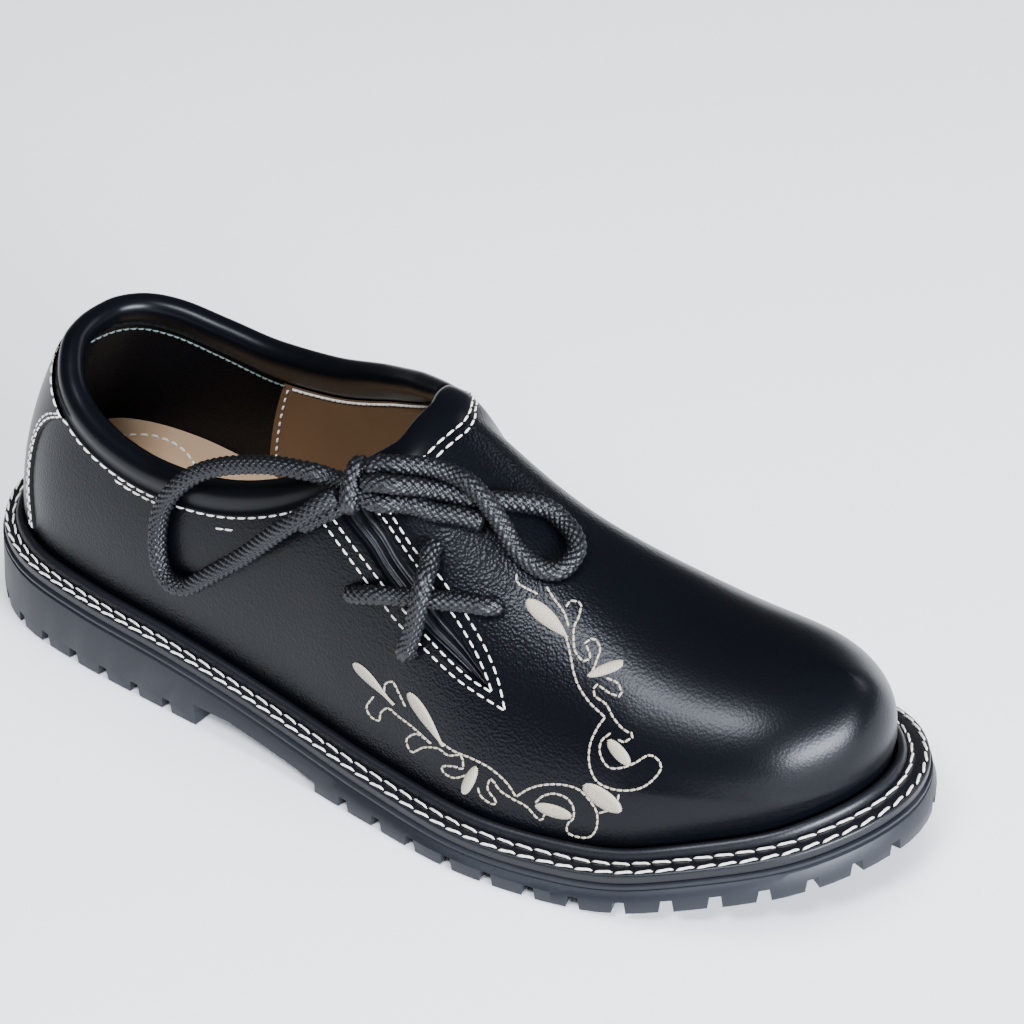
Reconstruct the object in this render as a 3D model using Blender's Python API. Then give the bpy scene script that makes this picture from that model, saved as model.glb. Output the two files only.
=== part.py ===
# Traditional folk shoe, right shoe: welted lug sole, padded collar, lacing slit on the outer side.
# Metres, +Z up, toe towards +X, inner side of the foot towards +Y. The shoe stands on its sole.
import math

import bmesh
import bpy
import numpy as np

# Driving sizes of the sole and the welt.
SOLE_LENGTH = 0.3094
SOLE_FLARE = 0.0022
BALL_WIDTH = 0.1102
HEEL_HEIGHT = 0.0252
TOE_SPRING = 0.0150
LUG_DEPTH = 0.0038
LUG_PITCH = 0.0130
LUG_GAP = 0.0030
LUG_DRAFT = 0.0005
LUG_LENGTH = 0.0150
TREAD_CHANNEL = 0.0030
LIP_HEIGHT = 0.0026
WELT_THICKNESS = 0.0030
WELT_WIDTH = 0.0100
BEAD_WIDTH = 0.0034
BEAD_HEIGHT = 0.0026
EDGE_ROUND = 0.0006
WELT_STEPS = 44

# Driving sizes of the upper.
INSTEP_HEIGHT = 0.0940
UPPER_WALL = 0.0022
LEAST_SPREAD = 0.020
ROLL_THICKNESS = 0.0080
ROLL_HEIGHT = 0.0092
ROLL_INSET = 0.0022
COUNTER_STEP = 0.0009
COUNTER_BEVEL = 0.04
SLIT_WIDTH = 0.0085
GUSSET_THICKNESS = 0.0014
GUSSET_GAP = 0.0005
INSOLE_THICKNESS = 0.0040
FIT_GAP = 0.0003

# Driving sizes of the lace, which is a round braided cord, and of its knot.
LACE_THICKNESS = 0.0050
LACE_SIDES = 8
LACE_STEP = 0.0062
KNOT_LENGTH = 0.0164
KNOT_WIDTH = 0.0116
KNOT_DEPTH = 0.0092

WELT_LENGTH = SOLE_LENGTH - 2 * SOLE_FLARE

# Small steps, in section rows or shares, over which slopes and normals are read.
SLOPE_STEP = 0.2
NORMAL_STEP = 0.02
EDGE_SHARE = 0.001

# Turns round the roll's section, as shares of half a turn, from the outer side to the inner.
ROLL_TURNS = (-0.25, 0.0, 0.22, 0.42, 0.6, 0.8, 1.0, 1.2, 1.38)

# Outline of the welt: share of the length, outer side and inner side as shares of the ball width.
OUTLINE_COLUMNS = ("along", "outer", "inner")
OUTLINE = (
    (0.000, 0.004, 0.004),
    (0.012, -0.126, 0.138),
    (0.040, -0.236, 0.240),
    (0.090, -0.326, 0.306),
    (0.180, -0.382, 0.332),
    (0.300, -0.415, 0.316),
    (0.420, -0.446, 0.304),
    (0.550, -0.503, 0.350),
    (0.660, -0.538, 0.424),
    (0.740, -0.518, 0.459),
    (0.820, -0.468, 0.456),
    (0.890, -0.377, 0.423),
    (0.945, -0.274, 0.341),
    (0.980, -0.149, 0.230),
    (1.000, 0.045, 0.045),
)

# Side view of the sole: welt edge as a share of the heel height, tread as a share of the toe spring, and
# how far the welt stands out from the upper as a share of the welt width.
PROFILE_COLUMNS = ("along", "welt_edge", "spring", "welt_width")
PROFILE = (
    (0.00, 1.000, 0.00, 0.72),
    (0.15, 0.910, 0.00, 0.75),
    (0.30, 0.810, 0.00, 0.76),
    (0.45, 0.590, 0.00, 0.80),
    (0.60, 0.450, 0.00, 0.90),
    (0.74, 0.430, 0.00, 1.00),
    (0.80, 0.500, 0.08, 1.00),
    (0.86, 0.670, 0.34, 1.00),
    (0.93, 0.880, 0.66, 1.00),
    (1.00, 1.120, 1.00, 1.00),
)

# The arch, from the heel breast to the first lug of the fore tread, as a share of the heel height.
ARCH_COLUMNS = ("along", "height")
ARCH = (
    (0.335, 0.290),
    (0.380, 0.300),
    (0.430, 0.220),
    (0.491, 0.149),
)

# Side of the rubber under the welt, top to bottom: shares of the sole's flare and of the lip's height.
LIP_COLUMNS = ("out", "down")
LIP = (
    (-0.10, 0.00),
    (0.35, 0.22),
    (0.35, 0.55),
    (0.00, 0.78),
    (0.40, 1.00),
)

# Sections of the upper: place round the welt (0 heel, 1 toe), then the point where the wall ends under
# the collar's roll or meets the ridge: along as a share of the length, across as shares of the ball
# width, heights over the welt as shares of the instep height, then roundness and bulge.
SECTION_COLUMNS = ("around", "along", "outer", "inner", "outer_rise", "inner_rise", "round", "bulge")
SECTIONS = (
    (0.000, 0.089, 0.000, 0.000, 0.660, 0.660, 0.10, 0.022),
    (0.060, 0.097, -0.100, 0.105, 0.645, 0.662, 0.10, 0.026),
    (0.120, 0.118, -0.190, 0.185, 0.580, 0.652, 0.12, 0.032),
    (0.180, 0.152, -0.245, 0.235, 0.514, 0.628, 0.15, 0.034),
    (0.250, 0.202, -0.280, 0.265, 0.468, 0.588, 0.18, 0.032),
    (0.320, 0.264, -0.298, 0.280, 0.455, 0.558, 0.22, 0.030),
    (0.390, 0.338, -0.305, 0.272, 0.500, 0.595, 0.30, 0.026),
    (0.450, 0.410, -0.292, 0.242, 0.610, 0.700, 0.45, 0.010),
    (0.500, 0.475, -0.250, 0.182, 0.765, 0.825, 0.65, -0.010),
    (0.540, 0.518, -0.155, 0.105, 0.900, 0.925, 0.85, -0.030),
    (0.570, 0.533, -0.015, -0.015, 0.955, 0.955, 1.00, -0.040),
    (0.640, 0.635, 0.000, 0.000, 0.755, 0.755, 1.00, -0.030),
    (0.720, 0.740, 0.015, 0.015, 0.615, 0.615, 1.00, 0.012),
    (0.800, 0.825, 0.025, 0.025, 0.520, 0.520, 1.00, 0.038),
    (0.880, 0.880, 0.035, 0.035, 0.455, 0.455, 1.00, 0.032),
    (0.950, 0.915, 0.040, 0.040, 0.410, 0.410, 1.00, 0.026),
    (1.000, 0.925, 0.042, 0.042, 0.395, 0.395, 1.00, 0.024),
)
THROAT_ROW = 10
COUNTER_ROW = 3
COLUMNS_PER_ROW = 2
WALL_STEPS = 9
ROLL_SMOOTHING = 3
INSOLE_STEPS = 24

# Lacing slit on the outer side: way down from the collar to its tip, place on the upper, width.
SLIT_COLUMNS = ("down", "row", "up", "width")
SLIT = (
    (0.00, 8.05, 1.00, 1.20),
    (0.20, 8.20, 0.81, 1.08),
    (0.40, 8.56, 0.64, 1.00),
    (0.60, 9.08, 0.48, 0.95),
    (0.75, 9.83, 0.39, 0.88),
    (0.88, 10.30, 0.37, 0.64),
    (1.00, 10.60, 0.34, 0.12),
)

# Gusset behind the slit: its first and last section row, and its lowest and highest wall step.
GUSSET_ROWS = (7.0, 11.5)
GUSSET_LEVELS = (3, 9)

# Padding of the collar's roll round the opening, as shares of its full size at the section rows: it
# thins out to a folded edge in front of the slit and at the throat.
ROLL_COLUMNS = ("row", "outer", "inner")
ROLL = (
    (0.0, 1.00, 1.00),
    (7.0, 1.00, 1.00),
    (8.0, 0.95, 0.92),
    (8.6, 0.60, 0.85),
    (9.3, 0.50, 0.72),
    (10.0, 0.52, 0.52),
)

# Front edge of the heel counter, up the wall: share of the wall's height, place in the section rows.
COUNTER_EDGE_COLUMNS = ("up", "row")
COUNTER_EDGE = (
    (0.00, 2.90),
    (0.40, 2.78),
    (0.74, 2.72),
    (0.86, 2.80),
    (1.00, 2.90),
)


# Routes of the lace: along from the heel, across, and up from the floor.
# Strand of the crossing that lies on the leather, from the rear eyelet to the front one.
CROSSING_UNDER = (
    (0.1560, -0.0400, 0.0620),
    (0.1635, -0.0405, 0.0650),
    (0.1705, -0.0385, 0.0660),
    (0.1770, -0.0375, 0.0675),
    (0.1830, -0.0355, 0.0675),
    (0.1890, -0.0335, 0.0680),
    (0.1940, -0.0320, 0.0680),
)
# Strand of the crossing that passes over the other one.
CROSSING_OVER = (
    (0.1750, -0.0435, 0.0520),
    (0.1760, -0.0430, 0.0555),
    (0.1775, -0.0425, 0.0610),
    (0.1785, -0.0420, 0.0665),
    (0.1790, -0.0410, 0.0705),
    (0.1785, -0.0385, 0.0745),
    (0.1775, -0.0345, 0.0765),
    (0.1760, -0.0315, 0.0785),
    (0.1755, -0.0300, 0.0805),
)
# Strand from the knot down to the top rear eyelet.
KNOT_REAR = (
    (0.1515, -0.0318, 0.0890),
    (0.1480, -0.0315, 0.0845),
    (0.1450, -0.0335, 0.0820),
    (0.1415, -0.0343, 0.0792),
    (0.1385, -0.0350, 0.0772),
)
# Strand from the knot down to the top front eyelet.
KNOT_FRONT = (
    (0.1540, -0.0295, 0.0905),
    (0.1565, -0.0275, 0.0915),
    (0.1595, -0.0265, 0.0930),
)
# Rear loop of the bow: over the collar, down the quarter and back to the knot.
LOOP_REAR = (
    (0.1440, -0.0305, 0.0900),
    (0.1395, -0.0325, 0.0915),
    (0.1340, -0.0330, 0.0910),
    (0.1260, -0.0330, 0.0895),
    (0.1165, -0.0330, 0.0865),
    (0.1065, -0.0335, 0.0825),
    (0.0980, -0.0345, 0.0775),
    (0.0915, -0.0365, 0.0710),
    (0.0865, -0.0370, 0.0625),
    (0.0850, -0.0380, 0.0545),
    (0.0855, -0.0390, 0.0480),
    (0.0870, -0.0395, 0.0430),
    (0.0910, -0.0405, 0.0410),
    (0.0965, -0.0405, 0.0420),
    (0.1025, -0.0405, 0.0470),
    (0.1095, -0.0400, 0.0530),
    (0.1175, -0.0395, 0.0600),
    (0.1250, -0.0400, 0.0675),
    (0.1330, -0.0405, 0.0755),
    (0.1395, -0.0395, 0.0815),
    (0.1440, -0.0375, 0.0855),
    (0.1450, -0.0372, 0.0865),
)
# Front loop of the bow: out over the vamp, round, and back over itself to the knot.
LOOP_FRONT = (
    (0.1605, -0.0320, 0.0955),
    (0.1640, -0.0310, 0.0955),
    (0.1675, -0.0270, 0.0940),
    (0.1710, -0.0230, 0.0920),
    (0.1755, -0.0200, 0.0905),
    (0.1795, -0.0180, 0.0895),
    (0.1835, -0.0150, 0.0885),
    (0.1875, -0.0115, 0.0875),
    (0.1920, -0.0075, 0.0860),
    (0.1960, -0.0045, 0.0840),
    (0.2000, -0.0040, 0.0815),
    (0.2045, -0.0055, 0.0795),
    (0.2075, -0.0085, 0.0775),
    (0.2080, -0.0125, 0.0760),
    (0.2070, -0.0160, 0.0750),
    (0.2040, -0.0180, 0.0750),
    (0.2010, -0.0190, 0.0760),
    (0.1975, -0.0195, 0.0780),
    (0.1940, -0.0195, 0.0810),
    (0.1915, -0.0195, 0.0850),
    (0.1885, -0.0195, 0.0890),
    (0.1850, -0.0195, 0.0925),
    (0.1805, -0.0190, 0.0950),
    (0.1750, -0.0190, 0.0960),
    (0.1700, -0.0205, 0.0970),
    (0.1655, -0.0235, 0.0980),
    (0.1615, -0.0265, 0.0985),
    (0.1575, -0.0280, 0.0980),
)
# Free end of the lace, tucked under the front loop.
FREE_END = (
    (0.1605, -0.0330, 0.0895),
    (0.1630, -0.0315, 0.0895),
    (0.1660, -0.0290, 0.0890),
    (0.1695, -0.0275, 0.0885),
    (0.1735, -0.0255, 0.0870),
    (0.1785, -0.0230, 0.0865),
    (0.1825, -0.0210, 0.0855),
    (0.1855, -0.0195, 0.0845),
)

# Middle of the knot, and the directions of its length and of its depth.
KNOT_MIDDLE = (0.1525, -0.0320, 0.0919)
KNOT_ALONG = (0.096, -0.596, -0.797)
KNOT_OUT = (-0.082, -0.803, 0.590)


def column(table, names, name):
    """One named column of a table, as an array."""
    return np.array([row[names.index(name)] for row in table])


def smooth(places, values, at):
    """Value at a place on the smooth curve through a column's points."""
    k = int(np.clip(np.searchsorted(places, at) - 1, 0, len(places) - 2))
    slopes = np.gradient(values, places)
    step = places[k + 1] - places[k]
    u = (at - places[k]) / step
    a = values[k] * (1 + 2 * u) * (1 - u) ** 2 + slopes[k] * step * u * (1 - u) ** 2
    b = values[k + 1] * u * u * (3 - 2 * u) + slopes[k + 1] * step * u * u * (u - 1)
    return float(a + b)


OUTER, INNER = -1, 1
OUTLINE_AROUND = np.arccos(1 - 2 * column(OUTLINE, OUTLINE_COLUMNS, "along")) / math.pi
OUTLINE_ACROSS = {
    OUTER: column(OUTLINE, OUTLINE_COLUMNS, "outer") * BALL_WIDTH,
    INNER: column(OUTLINE, OUTLINE_COLUMNS, "inner") * BALL_WIDTH,
}


def edge_point(around, side):
    """Plan point of the welt's edge at a place round it, 0 at the heel and 1 at the toe."""
    across = smooth(OUTLINE_AROUND, OUTLINE_ACROSS[side], around)
    return np.array([WELT_LENGTH * (1 - math.cos(math.pi * around)) / 2, across])


def welt_edge(around, side, grow=0.0):
    """Plan point of the welt's edge, moved outwards by grow."""
    if around < EDGE_SHARE or around > 1 - EDGE_SHARE:
        out = np.array([-1.0 if around < 0.5 else 1.0, 0.0])
    else:
        run = edge_point(around + EDGE_SHARE, side) - edge_point(around - EDGE_SHARE, side)
        out = np.array([run[1], -run[0]]) / np.linalg.norm(run) * -side
    return edge_point(around, side) + out * grow


def around_at(along):
    """Place round the welt that lies at a share of its length."""
    return math.acos(1 - 2 * along) / math.pi


def profile_at(name, x):
    """A size of the sole's side view at a place along the shoe."""
    size = {"welt_edge": HEEL_HEIGHT, "spring": TOE_SPRING, "welt_width": WELT_WIDTH}[name]
    places = column(PROFILE, PROFILE_COLUMNS, "along") * WELT_LENGTH
    share = smooth(places, column(PROFILE, PROFILE_COLUMNS, name), np.clip(x, 0, WELT_LENGTH))
    return size * max(share, 0.0)


# The origin lies on the floor under the middle of the sole's box.
SOLE_EDGE = [welt_edge(k / 400, side, SOLE_FLARE) for k in range(401) for side in (OUTER, INNER)]
CENTRE_X = (min(p[0] for p in SOLE_EDGE) + max(p[0] for p in SOLE_EDGE)) / 2
CENTRE_Y = (min(p[1] for p in SOLE_EDGE) + max(p[1] for p in SOLE_EDGE)) / 2


def give_material(thing, colour, roughness):
    """A Principled material of the piece's own."""
    material = bpy.data.materials.new(thing.name)
    material.use_nodes = True
    shader = material.node_tree.nodes["Principled BSDF"]
    shader.inputs["Base Color"].default_value = (*colour, 1)
    shader.inputs["Roughness"].default_value = roughness
    shader.inputs["Metallic"].default_value = 0.0
    thing.data.materials.append(material)


def make_object(name, verts, faces, colour, roughness, crease=35):
    """A named closed mesh from points in the last's frame, its faces turned outwards."""
    mesh = bpy.data.meshes.new(name)
    mesh.from_pydata([(v[0] - CENTRE_X, v[1] - CENTRE_Y, v[2]) for v in verts], [], faces)
    shaped = bmesh.new()
    shaped.from_mesh(mesh)
    bmesh.ops.recalc_face_normals(shaped, faces=shaped.faces)
    if shaped.calc_volume(signed=True) < 0:
        bmesh.ops.reverse_faces(shaped, faces=shaped.faces)
    shaped.to_mesh(mesh)
    shaped.free()
    mesh.shade_smooth()
    mesh.set_sharp_from_angle(angle=math.radians(crease))
    thing = bpy.data.objects.new(name, mesh)
    bpy.context.collection.objects.link(thing)
    give_material(thing, colour, roughness)
    return thing


def ring_loft(rings):
    """Points and faces of a tube that closes on itself, from cross sections of equal count."""
    count, size = len(rings), len(rings[0])
    verts = [point for ring in rings for point in ring]
    faces = []
    for i in range(count):
        for j in range(size):
            here, ahead = i * size, (i + 1) % count * size
            faces.append((here + j, ahead + j, ahead + (j + 1) % size, here + (j + 1) % size))
    return verts, faces


def around_both_sides(places):
    """Places round the whole welt: forwards on the outer side, then back on the inner side."""
    return [(a, OUTER) for a in places] + [(a, INNER) for a in reversed(places[1:-1])]


def tread_cells():
    """Cells of the tread from heel to toe: start, end and kind, which is lug, gap or arch."""
    fine = np.linspace(0, 1, 801)
    edge = np.array([welt_edge(a, OUTER, SOLE_FLARE) for a in fine])
    lengths = np.concatenate([[0], np.cumsum(np.linalg.norm(np.diff(edge, axis=0), axis=1))])

    def lug_run(start, end):
        first, last = np.interp([start, end], fine, lengths)
        lugs = max(2, round((last - first + LUG_GAP) / LUG_PITCH))
        pitch = (last - first + LUG_GAP) / lugs
        cells = []
        for k in range(lugs):
            low = first + k * pitch
            marks = [low, low + (pitch - LUG_GAP) / 2, low + pitch - LUG_GAP, low + pitch]
            places = [float(np.interp(mark, lengths, fine)) for mark in marks]
            cells += [(places[0], places[1], "lug"), (places[1], places[2], "lug")]
            if k < lugs - 1:
                cells.append((places[2], places[3], "gap"))
        return cells

    arch_places = [around_at(row[0]) for row in ARCH]
    arch = [(arch_places[k], arch_places[k + 1], "arch") for k in range(len(ARCH) - 1)]
    return lug_run(0.0, arch_places[0]) + arch + lug_run(arch_places[-1], 1.0)


def build_outsole():
    """Rubber sole: flat top, lip and groove on its side, flared wall, lugs, heel breast and arch."""
    cells = tread_cells()
    places = [cell[0] for cell in cells] + [1.0]
    last = len(cells)
    insets = {"edge": 0.0, "lug_end": LUG_LENGTH, "core": LUG_LENGTH + TREAD_CHANNEL}
    arch_x = column(ARCH, ARCH_COLUMNS, "along") * WELT_LENGTH
    arch_z = column(ARCH, ARCH_COLUMNS, "height") * HEEL_HEIGHT
    verts, found, faces, columns = [], {}, [], {}

    def vertex(point):
        key = tuple(np.round(point, 7))
        if key not in found:
            found[key] = len(verts)
            verts.append(point)
        return found[key]

    def corner(ring, side, k):
        return (ring, OUTER if k in (0, last) else side, k)

    def plan(key):
        ring, side, k = key
        return welt_edge(places[k], side, SOLE_FLARE - insets[ring])

    def point_at(key, kind):
        x, y = plan(key)
        if kind == "arch":
            return np.array([x, y, float(np.interp(x, arch_x, arch_z))])
        if kind == "gap":
            return np.array([x, y, profile_at("spring", x) + LUG_DEPTH])
        ring, side, k = key
        lean = np.zeros(2)
        for step in (-1, 1):
            beyond = cells[k + min(step, 0)][2] if 0 <= k + min(step, 0) < last else "lug"
            if beyond == "gap":
                towards = plan((ring, side, k - step)) - plan(key)
                lean = towards / np.linalg.norm(towards) * LUG_DRAFT
        return np.array([x + lean[0], y + lean[1], profile_at("spring", x)])

    patches = []
    for k, (_, _, kind) in enumerate(cells):
        channel = "arch" if kind == "arch" else "gap"
        for side in (OUTER, INNER):
            for near, far, what in (("edge", "lug_end", kind), ("lug_end", "core", channel)):
                corners = [corner(near, side, k), corner(near, side, k + 1),
                           corner(far, side, k + 1), corner(far, side, k)]
                patches.append((corners, what))
        patches.append(([corner("core", OUTER, k), corner("core", OUTER, k + 1),
                         corner("core", INNER, k + 1), corner("core", INNER, k)], kind))

    by_edge = {}
    for corners, kind in patches:
        corners = [c for i, c in enumerate(corners) if c != corners[i - 1]]
        for c in corners:
            columns.setdefault(c, {})[kind] = point_at(c, kind)
        faces.append([vertex(point_at(c, kind)) for c in corners])
        for i, c in enumerate(corners):
            by_edge.setdefault(frozenset((corners[i - 1], c)), []).append(kind)
    for key, levels in columns.items():
        if key[0] == "edge" and "arch" not in levels:
            levels["gap"] = point_at(key, "gap")

    def climb(key, low, high):
        stack = sorted(columns[key].values(), key=lambda p: p[2])
        return [vertex(p) for p in stack if low - 1e-7 <= p[2] <= high + 1e-7]

    def ladder(left, right):
        i = j = 0
        while i < len(left) - 1 or j < len(right) - 1:
            both = i < len(left) - 1 and j < len(right) - 1
            if both and abs(verts[left[i + 1]][2] - verts[right[j + 1]][2]) < 0.002:
                faces.append([left[i], left[i + 1], right[j + 1], right[j]])
                i, j = i + 1, j + 1
            elif j == len(right) - 1 or (both and verts[left[i + 1]][2] < verts[right[j + 1]][2]):
                faces.append([left[i], left[i + 1], right[j]])
                i += 1
            else:
                faces.append([left[i], right[j + 1], right[j]])
                j += 1

    lip_rows = []
    for out, down in LIP:
        lip_rows.append((out * SOLE_FLARE, down * LIP_HEIGHT))

    def lip_vertex(key, row):
        x, y = welt_edge(places[key[2]], key[1], lip_rows[row][0])
        top = profile_at("welt_edge", x) - WELT_THICKNESS
        return vertex(np.array([x, y, top - lip_rows[row][1]]))

    for edge, kinds in by_edge.items():
        ends = sorted(edge, key=lambda c: c[2] * 2 + (c[1] == INNER))
        if len(kinds) == 2 and kinds[0] != kinds[1]:
            spans = []
            for key in ends:
                heights = [columns[key][kind][2] for kind in kinds]
                spans.append(climb(key, min(heights), max(heights)))
            ladder(*spans)
        if len(kinds) == 1:
            spans = []
            for key in ends:
                low = columns[key][kinds[0]][2]
                spans.append(climb(key, low, 1.0) + [lip_vertex(key, len(LIP) - 1)])
            ladder(*spans)
            for row in range(len(LIP) - 1):
                faces.append([lip_vertex(ends[0], row), lip_vertex(ends[0], row + 1),
                              lip_vertex(ends[1], row + 1), lip_vertex(ends[1], row)])
    for k in range(last):
        ring = [lip_vertex(corner("edge", side, k + step), 0)
                for side, step in ((OUTER, 0), (OUTER, 1), (INNER, 1), (INNER, 0))]
        faces.append([v for i, v in enumerate(ring) if v != ring[i - 1]])
    return make_object("outsole", verts, faces, (0.022, 0.027, 0.045), 0.55)


def build_welt():
    """Leather welt on the sole's edge, with the rounded bead that closes against the upper."""
    rings = []
    places = [k / WELT_STEPS for k in range(WELT_STEPS + 1)]
    for around, side in around_both_sides(places):
        ring = []
        edge_x = edge_point(around, side)[0]
        inner = profile_at("welt_width", edge_x) - FIT_GAP
        section = [(0.0, FIT_GAP), (0.0, WELT_THICKNESS - EDGE_ROUND), (EDGE_ROUND, WELT_THICKNESS),
                   (inner - BEAD_WIDTH - EDGE_ROUND, WELT_THICKNESS)]
        for turn in (0.15, 0.38, 0.62, 0.85):
            angle = math.pi * turn
            section.append((inner - BEAD_WIDTH * (1 + math.cos(angle)) / 2,
                            WELT_THICKNESS + BEAD_HEIGHT * math.sin(angle)))
        section += [(inner, WELT_THICKNESS), (inner, FIT_GAP)]
        for inset, up in section:
            x, y = welt_edge(around, side, -inset)
            ring.append((x, y, profile_at("welt_edge", edge_x) - WELT_THICKNESS + up))
        rings.append(ring)
    verts, faces = ring_loft(rings)
    return make_object("welt", verts, faces, (0.012, 0.012, 0.014), 0.5)


def section_value(name, row):
    """A column of the section table at a row, or between two rows."""
    rows = np.arange(len(SECTIONS), dtype=float)
    if row >= THROAT_ROW and name in ("outer", "inner", "outer_rise", "inner_rise"):
        kind = name.replace("outer", "").replace("inner", "")
        both = [smooth(rows, column(SECTIONS, SECTION_COLUMNS, side + kind), row)
                for side in ("outer", "inner")]
        return sum(both) / 2
    return smooth(rows, column(SECTIONS, SECTION_COLUMNS, name), row)


def upper_point(row, side, up):
    """Point of the upper's outer surface: section row, side, and share of the way up the wall."""
    name = "outer" if side == OUTER else "inner"
    around = float(np.clip(section_value("around", row), 0, 1))
    foot_edge = edge_point(around, side)[0]
    foot = welt_edge(around, side, -profile_at("welt_width", foot_edge))
    low = profile_at("welt_edge", foot_edge) - WELT_THICKNESS + FIT_GAP
    groove_top = profile_at("welt_edge", foot_edge) + BEAD_HEIGHT
    if up <= 0:
        return np.array([foot[0], foot[1], low if up < 0 else groove_top])
    top = np.array([section_value("along", row) * WELT_LENGTH, section_value(name, row) * BALL_WIDTH])
    roundness, bulge = section_value("round", row), section_value("bulge", row) * BALL_WIDTH
    angle = up * math.pi / 2
    inwards = (1 - roundness) * up + roundness * (1 - math.cos(angle))
    drop = 1 - ((1 - roundness) * up + roundness * math.sin(angle))
    spread = foot - top
    swell = bulge * math.sin(math.pi * up)
    place = foot + (top - foot) * inwards + spread / max(np.linalg.norm(spread), LEAST_SPREAD) * swell
    rise = section_value(name + "_rise", row) * INSTEP_HEIGHT
    crest = profile_at("welt_edge", top[0]) + rise
    slope = ridge_slope(row)
    height = crest + slope * (place[0] - top[0])
    full_drop = crest + slope * (foot[0] - top[0]) - groove_top
    return np.array([place[0], place[1], height - full_drop * drop])


def ridge_slope(row):
    """Fall of the ridge where a section of the front part meets it; none under the collar."""
    if row < THROAT_ROW - 1:
        return 0.0
    points, ridge = [], max(row, THROAT_ROW)
    for at in (max(ridge - SLOPE_STEP, THROAT_ROW), min(ridge + SLOPE_STEP, len(SECTIONS) - 1)):
        x = section_value("along", at) * WELT_LENGTH
        rise = section_value("outer_rise", at) * INSTEP_HEIGHT
        points.append((x, profile_at("welt_edge", x) + rise))
    fall = (points[1][1] - points[0][1]) / (points[1][0] - points[0][0])
    return fall * min(1.0, row - THROAT_ROW + 1)


def upper_sheet():
    """Outer surface of the upper: its points, the counter's step on them, its faces, its feather and
    collar loops, and the outer side's points by section row and place up the wall."""
    rows = [k / COLUMNS_PER_ROW for k in range((len(SECTIONS) - 1) * COLUMNS_PER_ROW + 1)]
    ups = [-1.0] + [k / WALL_STEPS for k in range(WALL_STEPS + 1)]
    edge_ups = column(COUNTER_EDGE, COUNTER_EDGE_COLUMNS, "up")
    edge_rows = column(COUNTER_EDGE, COUNTER_EDGE_COLUMNS, "row")
    counter = rows.index(COUNTER_ROW)
    rows.insert(counter, COUNTER_ROW)
    verts, raised, index, faces = [], [], {}, []

    def vertex(k, side, j):
        row = rows[k]
        shared = k in (0, len(rows) - 1) or (row >= THROAT_ROW and j == len(ups) - 1)
        key = (k, OUTER if shared else side, j)
        if key not in index:
            index[key] = len(verts)
            if k in (counter, counter + 1):
                row = smooth(edge_ups, edge_rows, max(ups[j], 0.0)) + COUNTER_BEVEL * (k - counter)
            verts.append(upper_point(row, key[1], ups[j]))
            raised.append(COUNTER_STEP if k <= counter and 0 < ups[j] < 1 else 0.0)
        return index[key]

    for side in (OUTER, INNER):
        for k in range(len(rows) - 1):
            for j in range(len(ups) - 1):
                ring = [vertex(k, side, j), vertex(k + 1, side, j),
                        vertex(k + 1, side, j + 1), vertex(k, side, j + 1)]
                faces.append(ring if side == OUTER else ring[::-1])
    throat = rows.index(THROAT_ROW)
    top = len(ups) - 1
    feather = [vertex(k, OUTER, 0) for k in range(len(rows))]
    feather += [vertex(k, INNER, 0) for k in range(len(rows) - 2, 0, -1)]
    shares = {}
    for side, name in ((OUTER, "outer"), (INNER, "inner")):
        shares[side] = np.interp(rows, column(ROLL, ROLL_COLUMNS, "row"), column(ROLL, ROLL_COLUMNS, name))
    collar = [(vertex(k, OUTER, top), shares[OUTER][k]) for k in range(throat + 1)]
    collar += [(vertex(k, INNER, top), shares[INNER][k]) for k in range(throat - 1, 0, -1)]
    side_grid = {(rows[k], j): v for (k, side, j), v in index.items() if side == OUTER and k != counter}
    return np.array(verts), np.array(raised), faces, feather, collar, side_grid


def sheet_normals(verts, faces):
    """Outward normals at the points of a sheet."""
    normals = np.zeros_like(verts)
    for face in faces:
        corners = verts[face]
        normal = np.cross(corners[2] - corners[0], corners[3] - corners[1])
        for v in face:
            normals[v] += normal
    lengths = np.linalg.norm(normals, axis=1, keepdims=True)
    return normals / np.maximum(lengths, 1e-12)


def upper_normal(row, side, up):
    """Outward normal of the upper's outer surface."""
    below, above = max(up - NORMAL_STEP, EDGE_SHARE), min(up + NORMAL_STEP, 1 - EDGE_SHARE)
    along = upper_point(row + NORMAL_STEP, side, up) - upper_point(row - NORMAL_STEP, side, up)
    upwards = upper_point(row, side, above) - upper_point(row, side, below)
    normal = np.cross(along, upwards) * -side
    return normal / np.linalg.norm(normal)


def slit_line():
    """Middle line of the slit, its run down the side, its width direction and its outward normal."""
    points, normals = [], []
    for _, row, up, _ in SLIT:
        points.append(upper_point(row, OUTER, up))
        normals.append(upper_normal(row, OUTER, up))
    run = (points[-1] - points[0]) / np.linalg.norm(points[-1] - points[0])
    across = np.cross(sum(normals), run)
    across /= np.linalg.norm(across)
    return points, run, across, np.cross(run, across)


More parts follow.
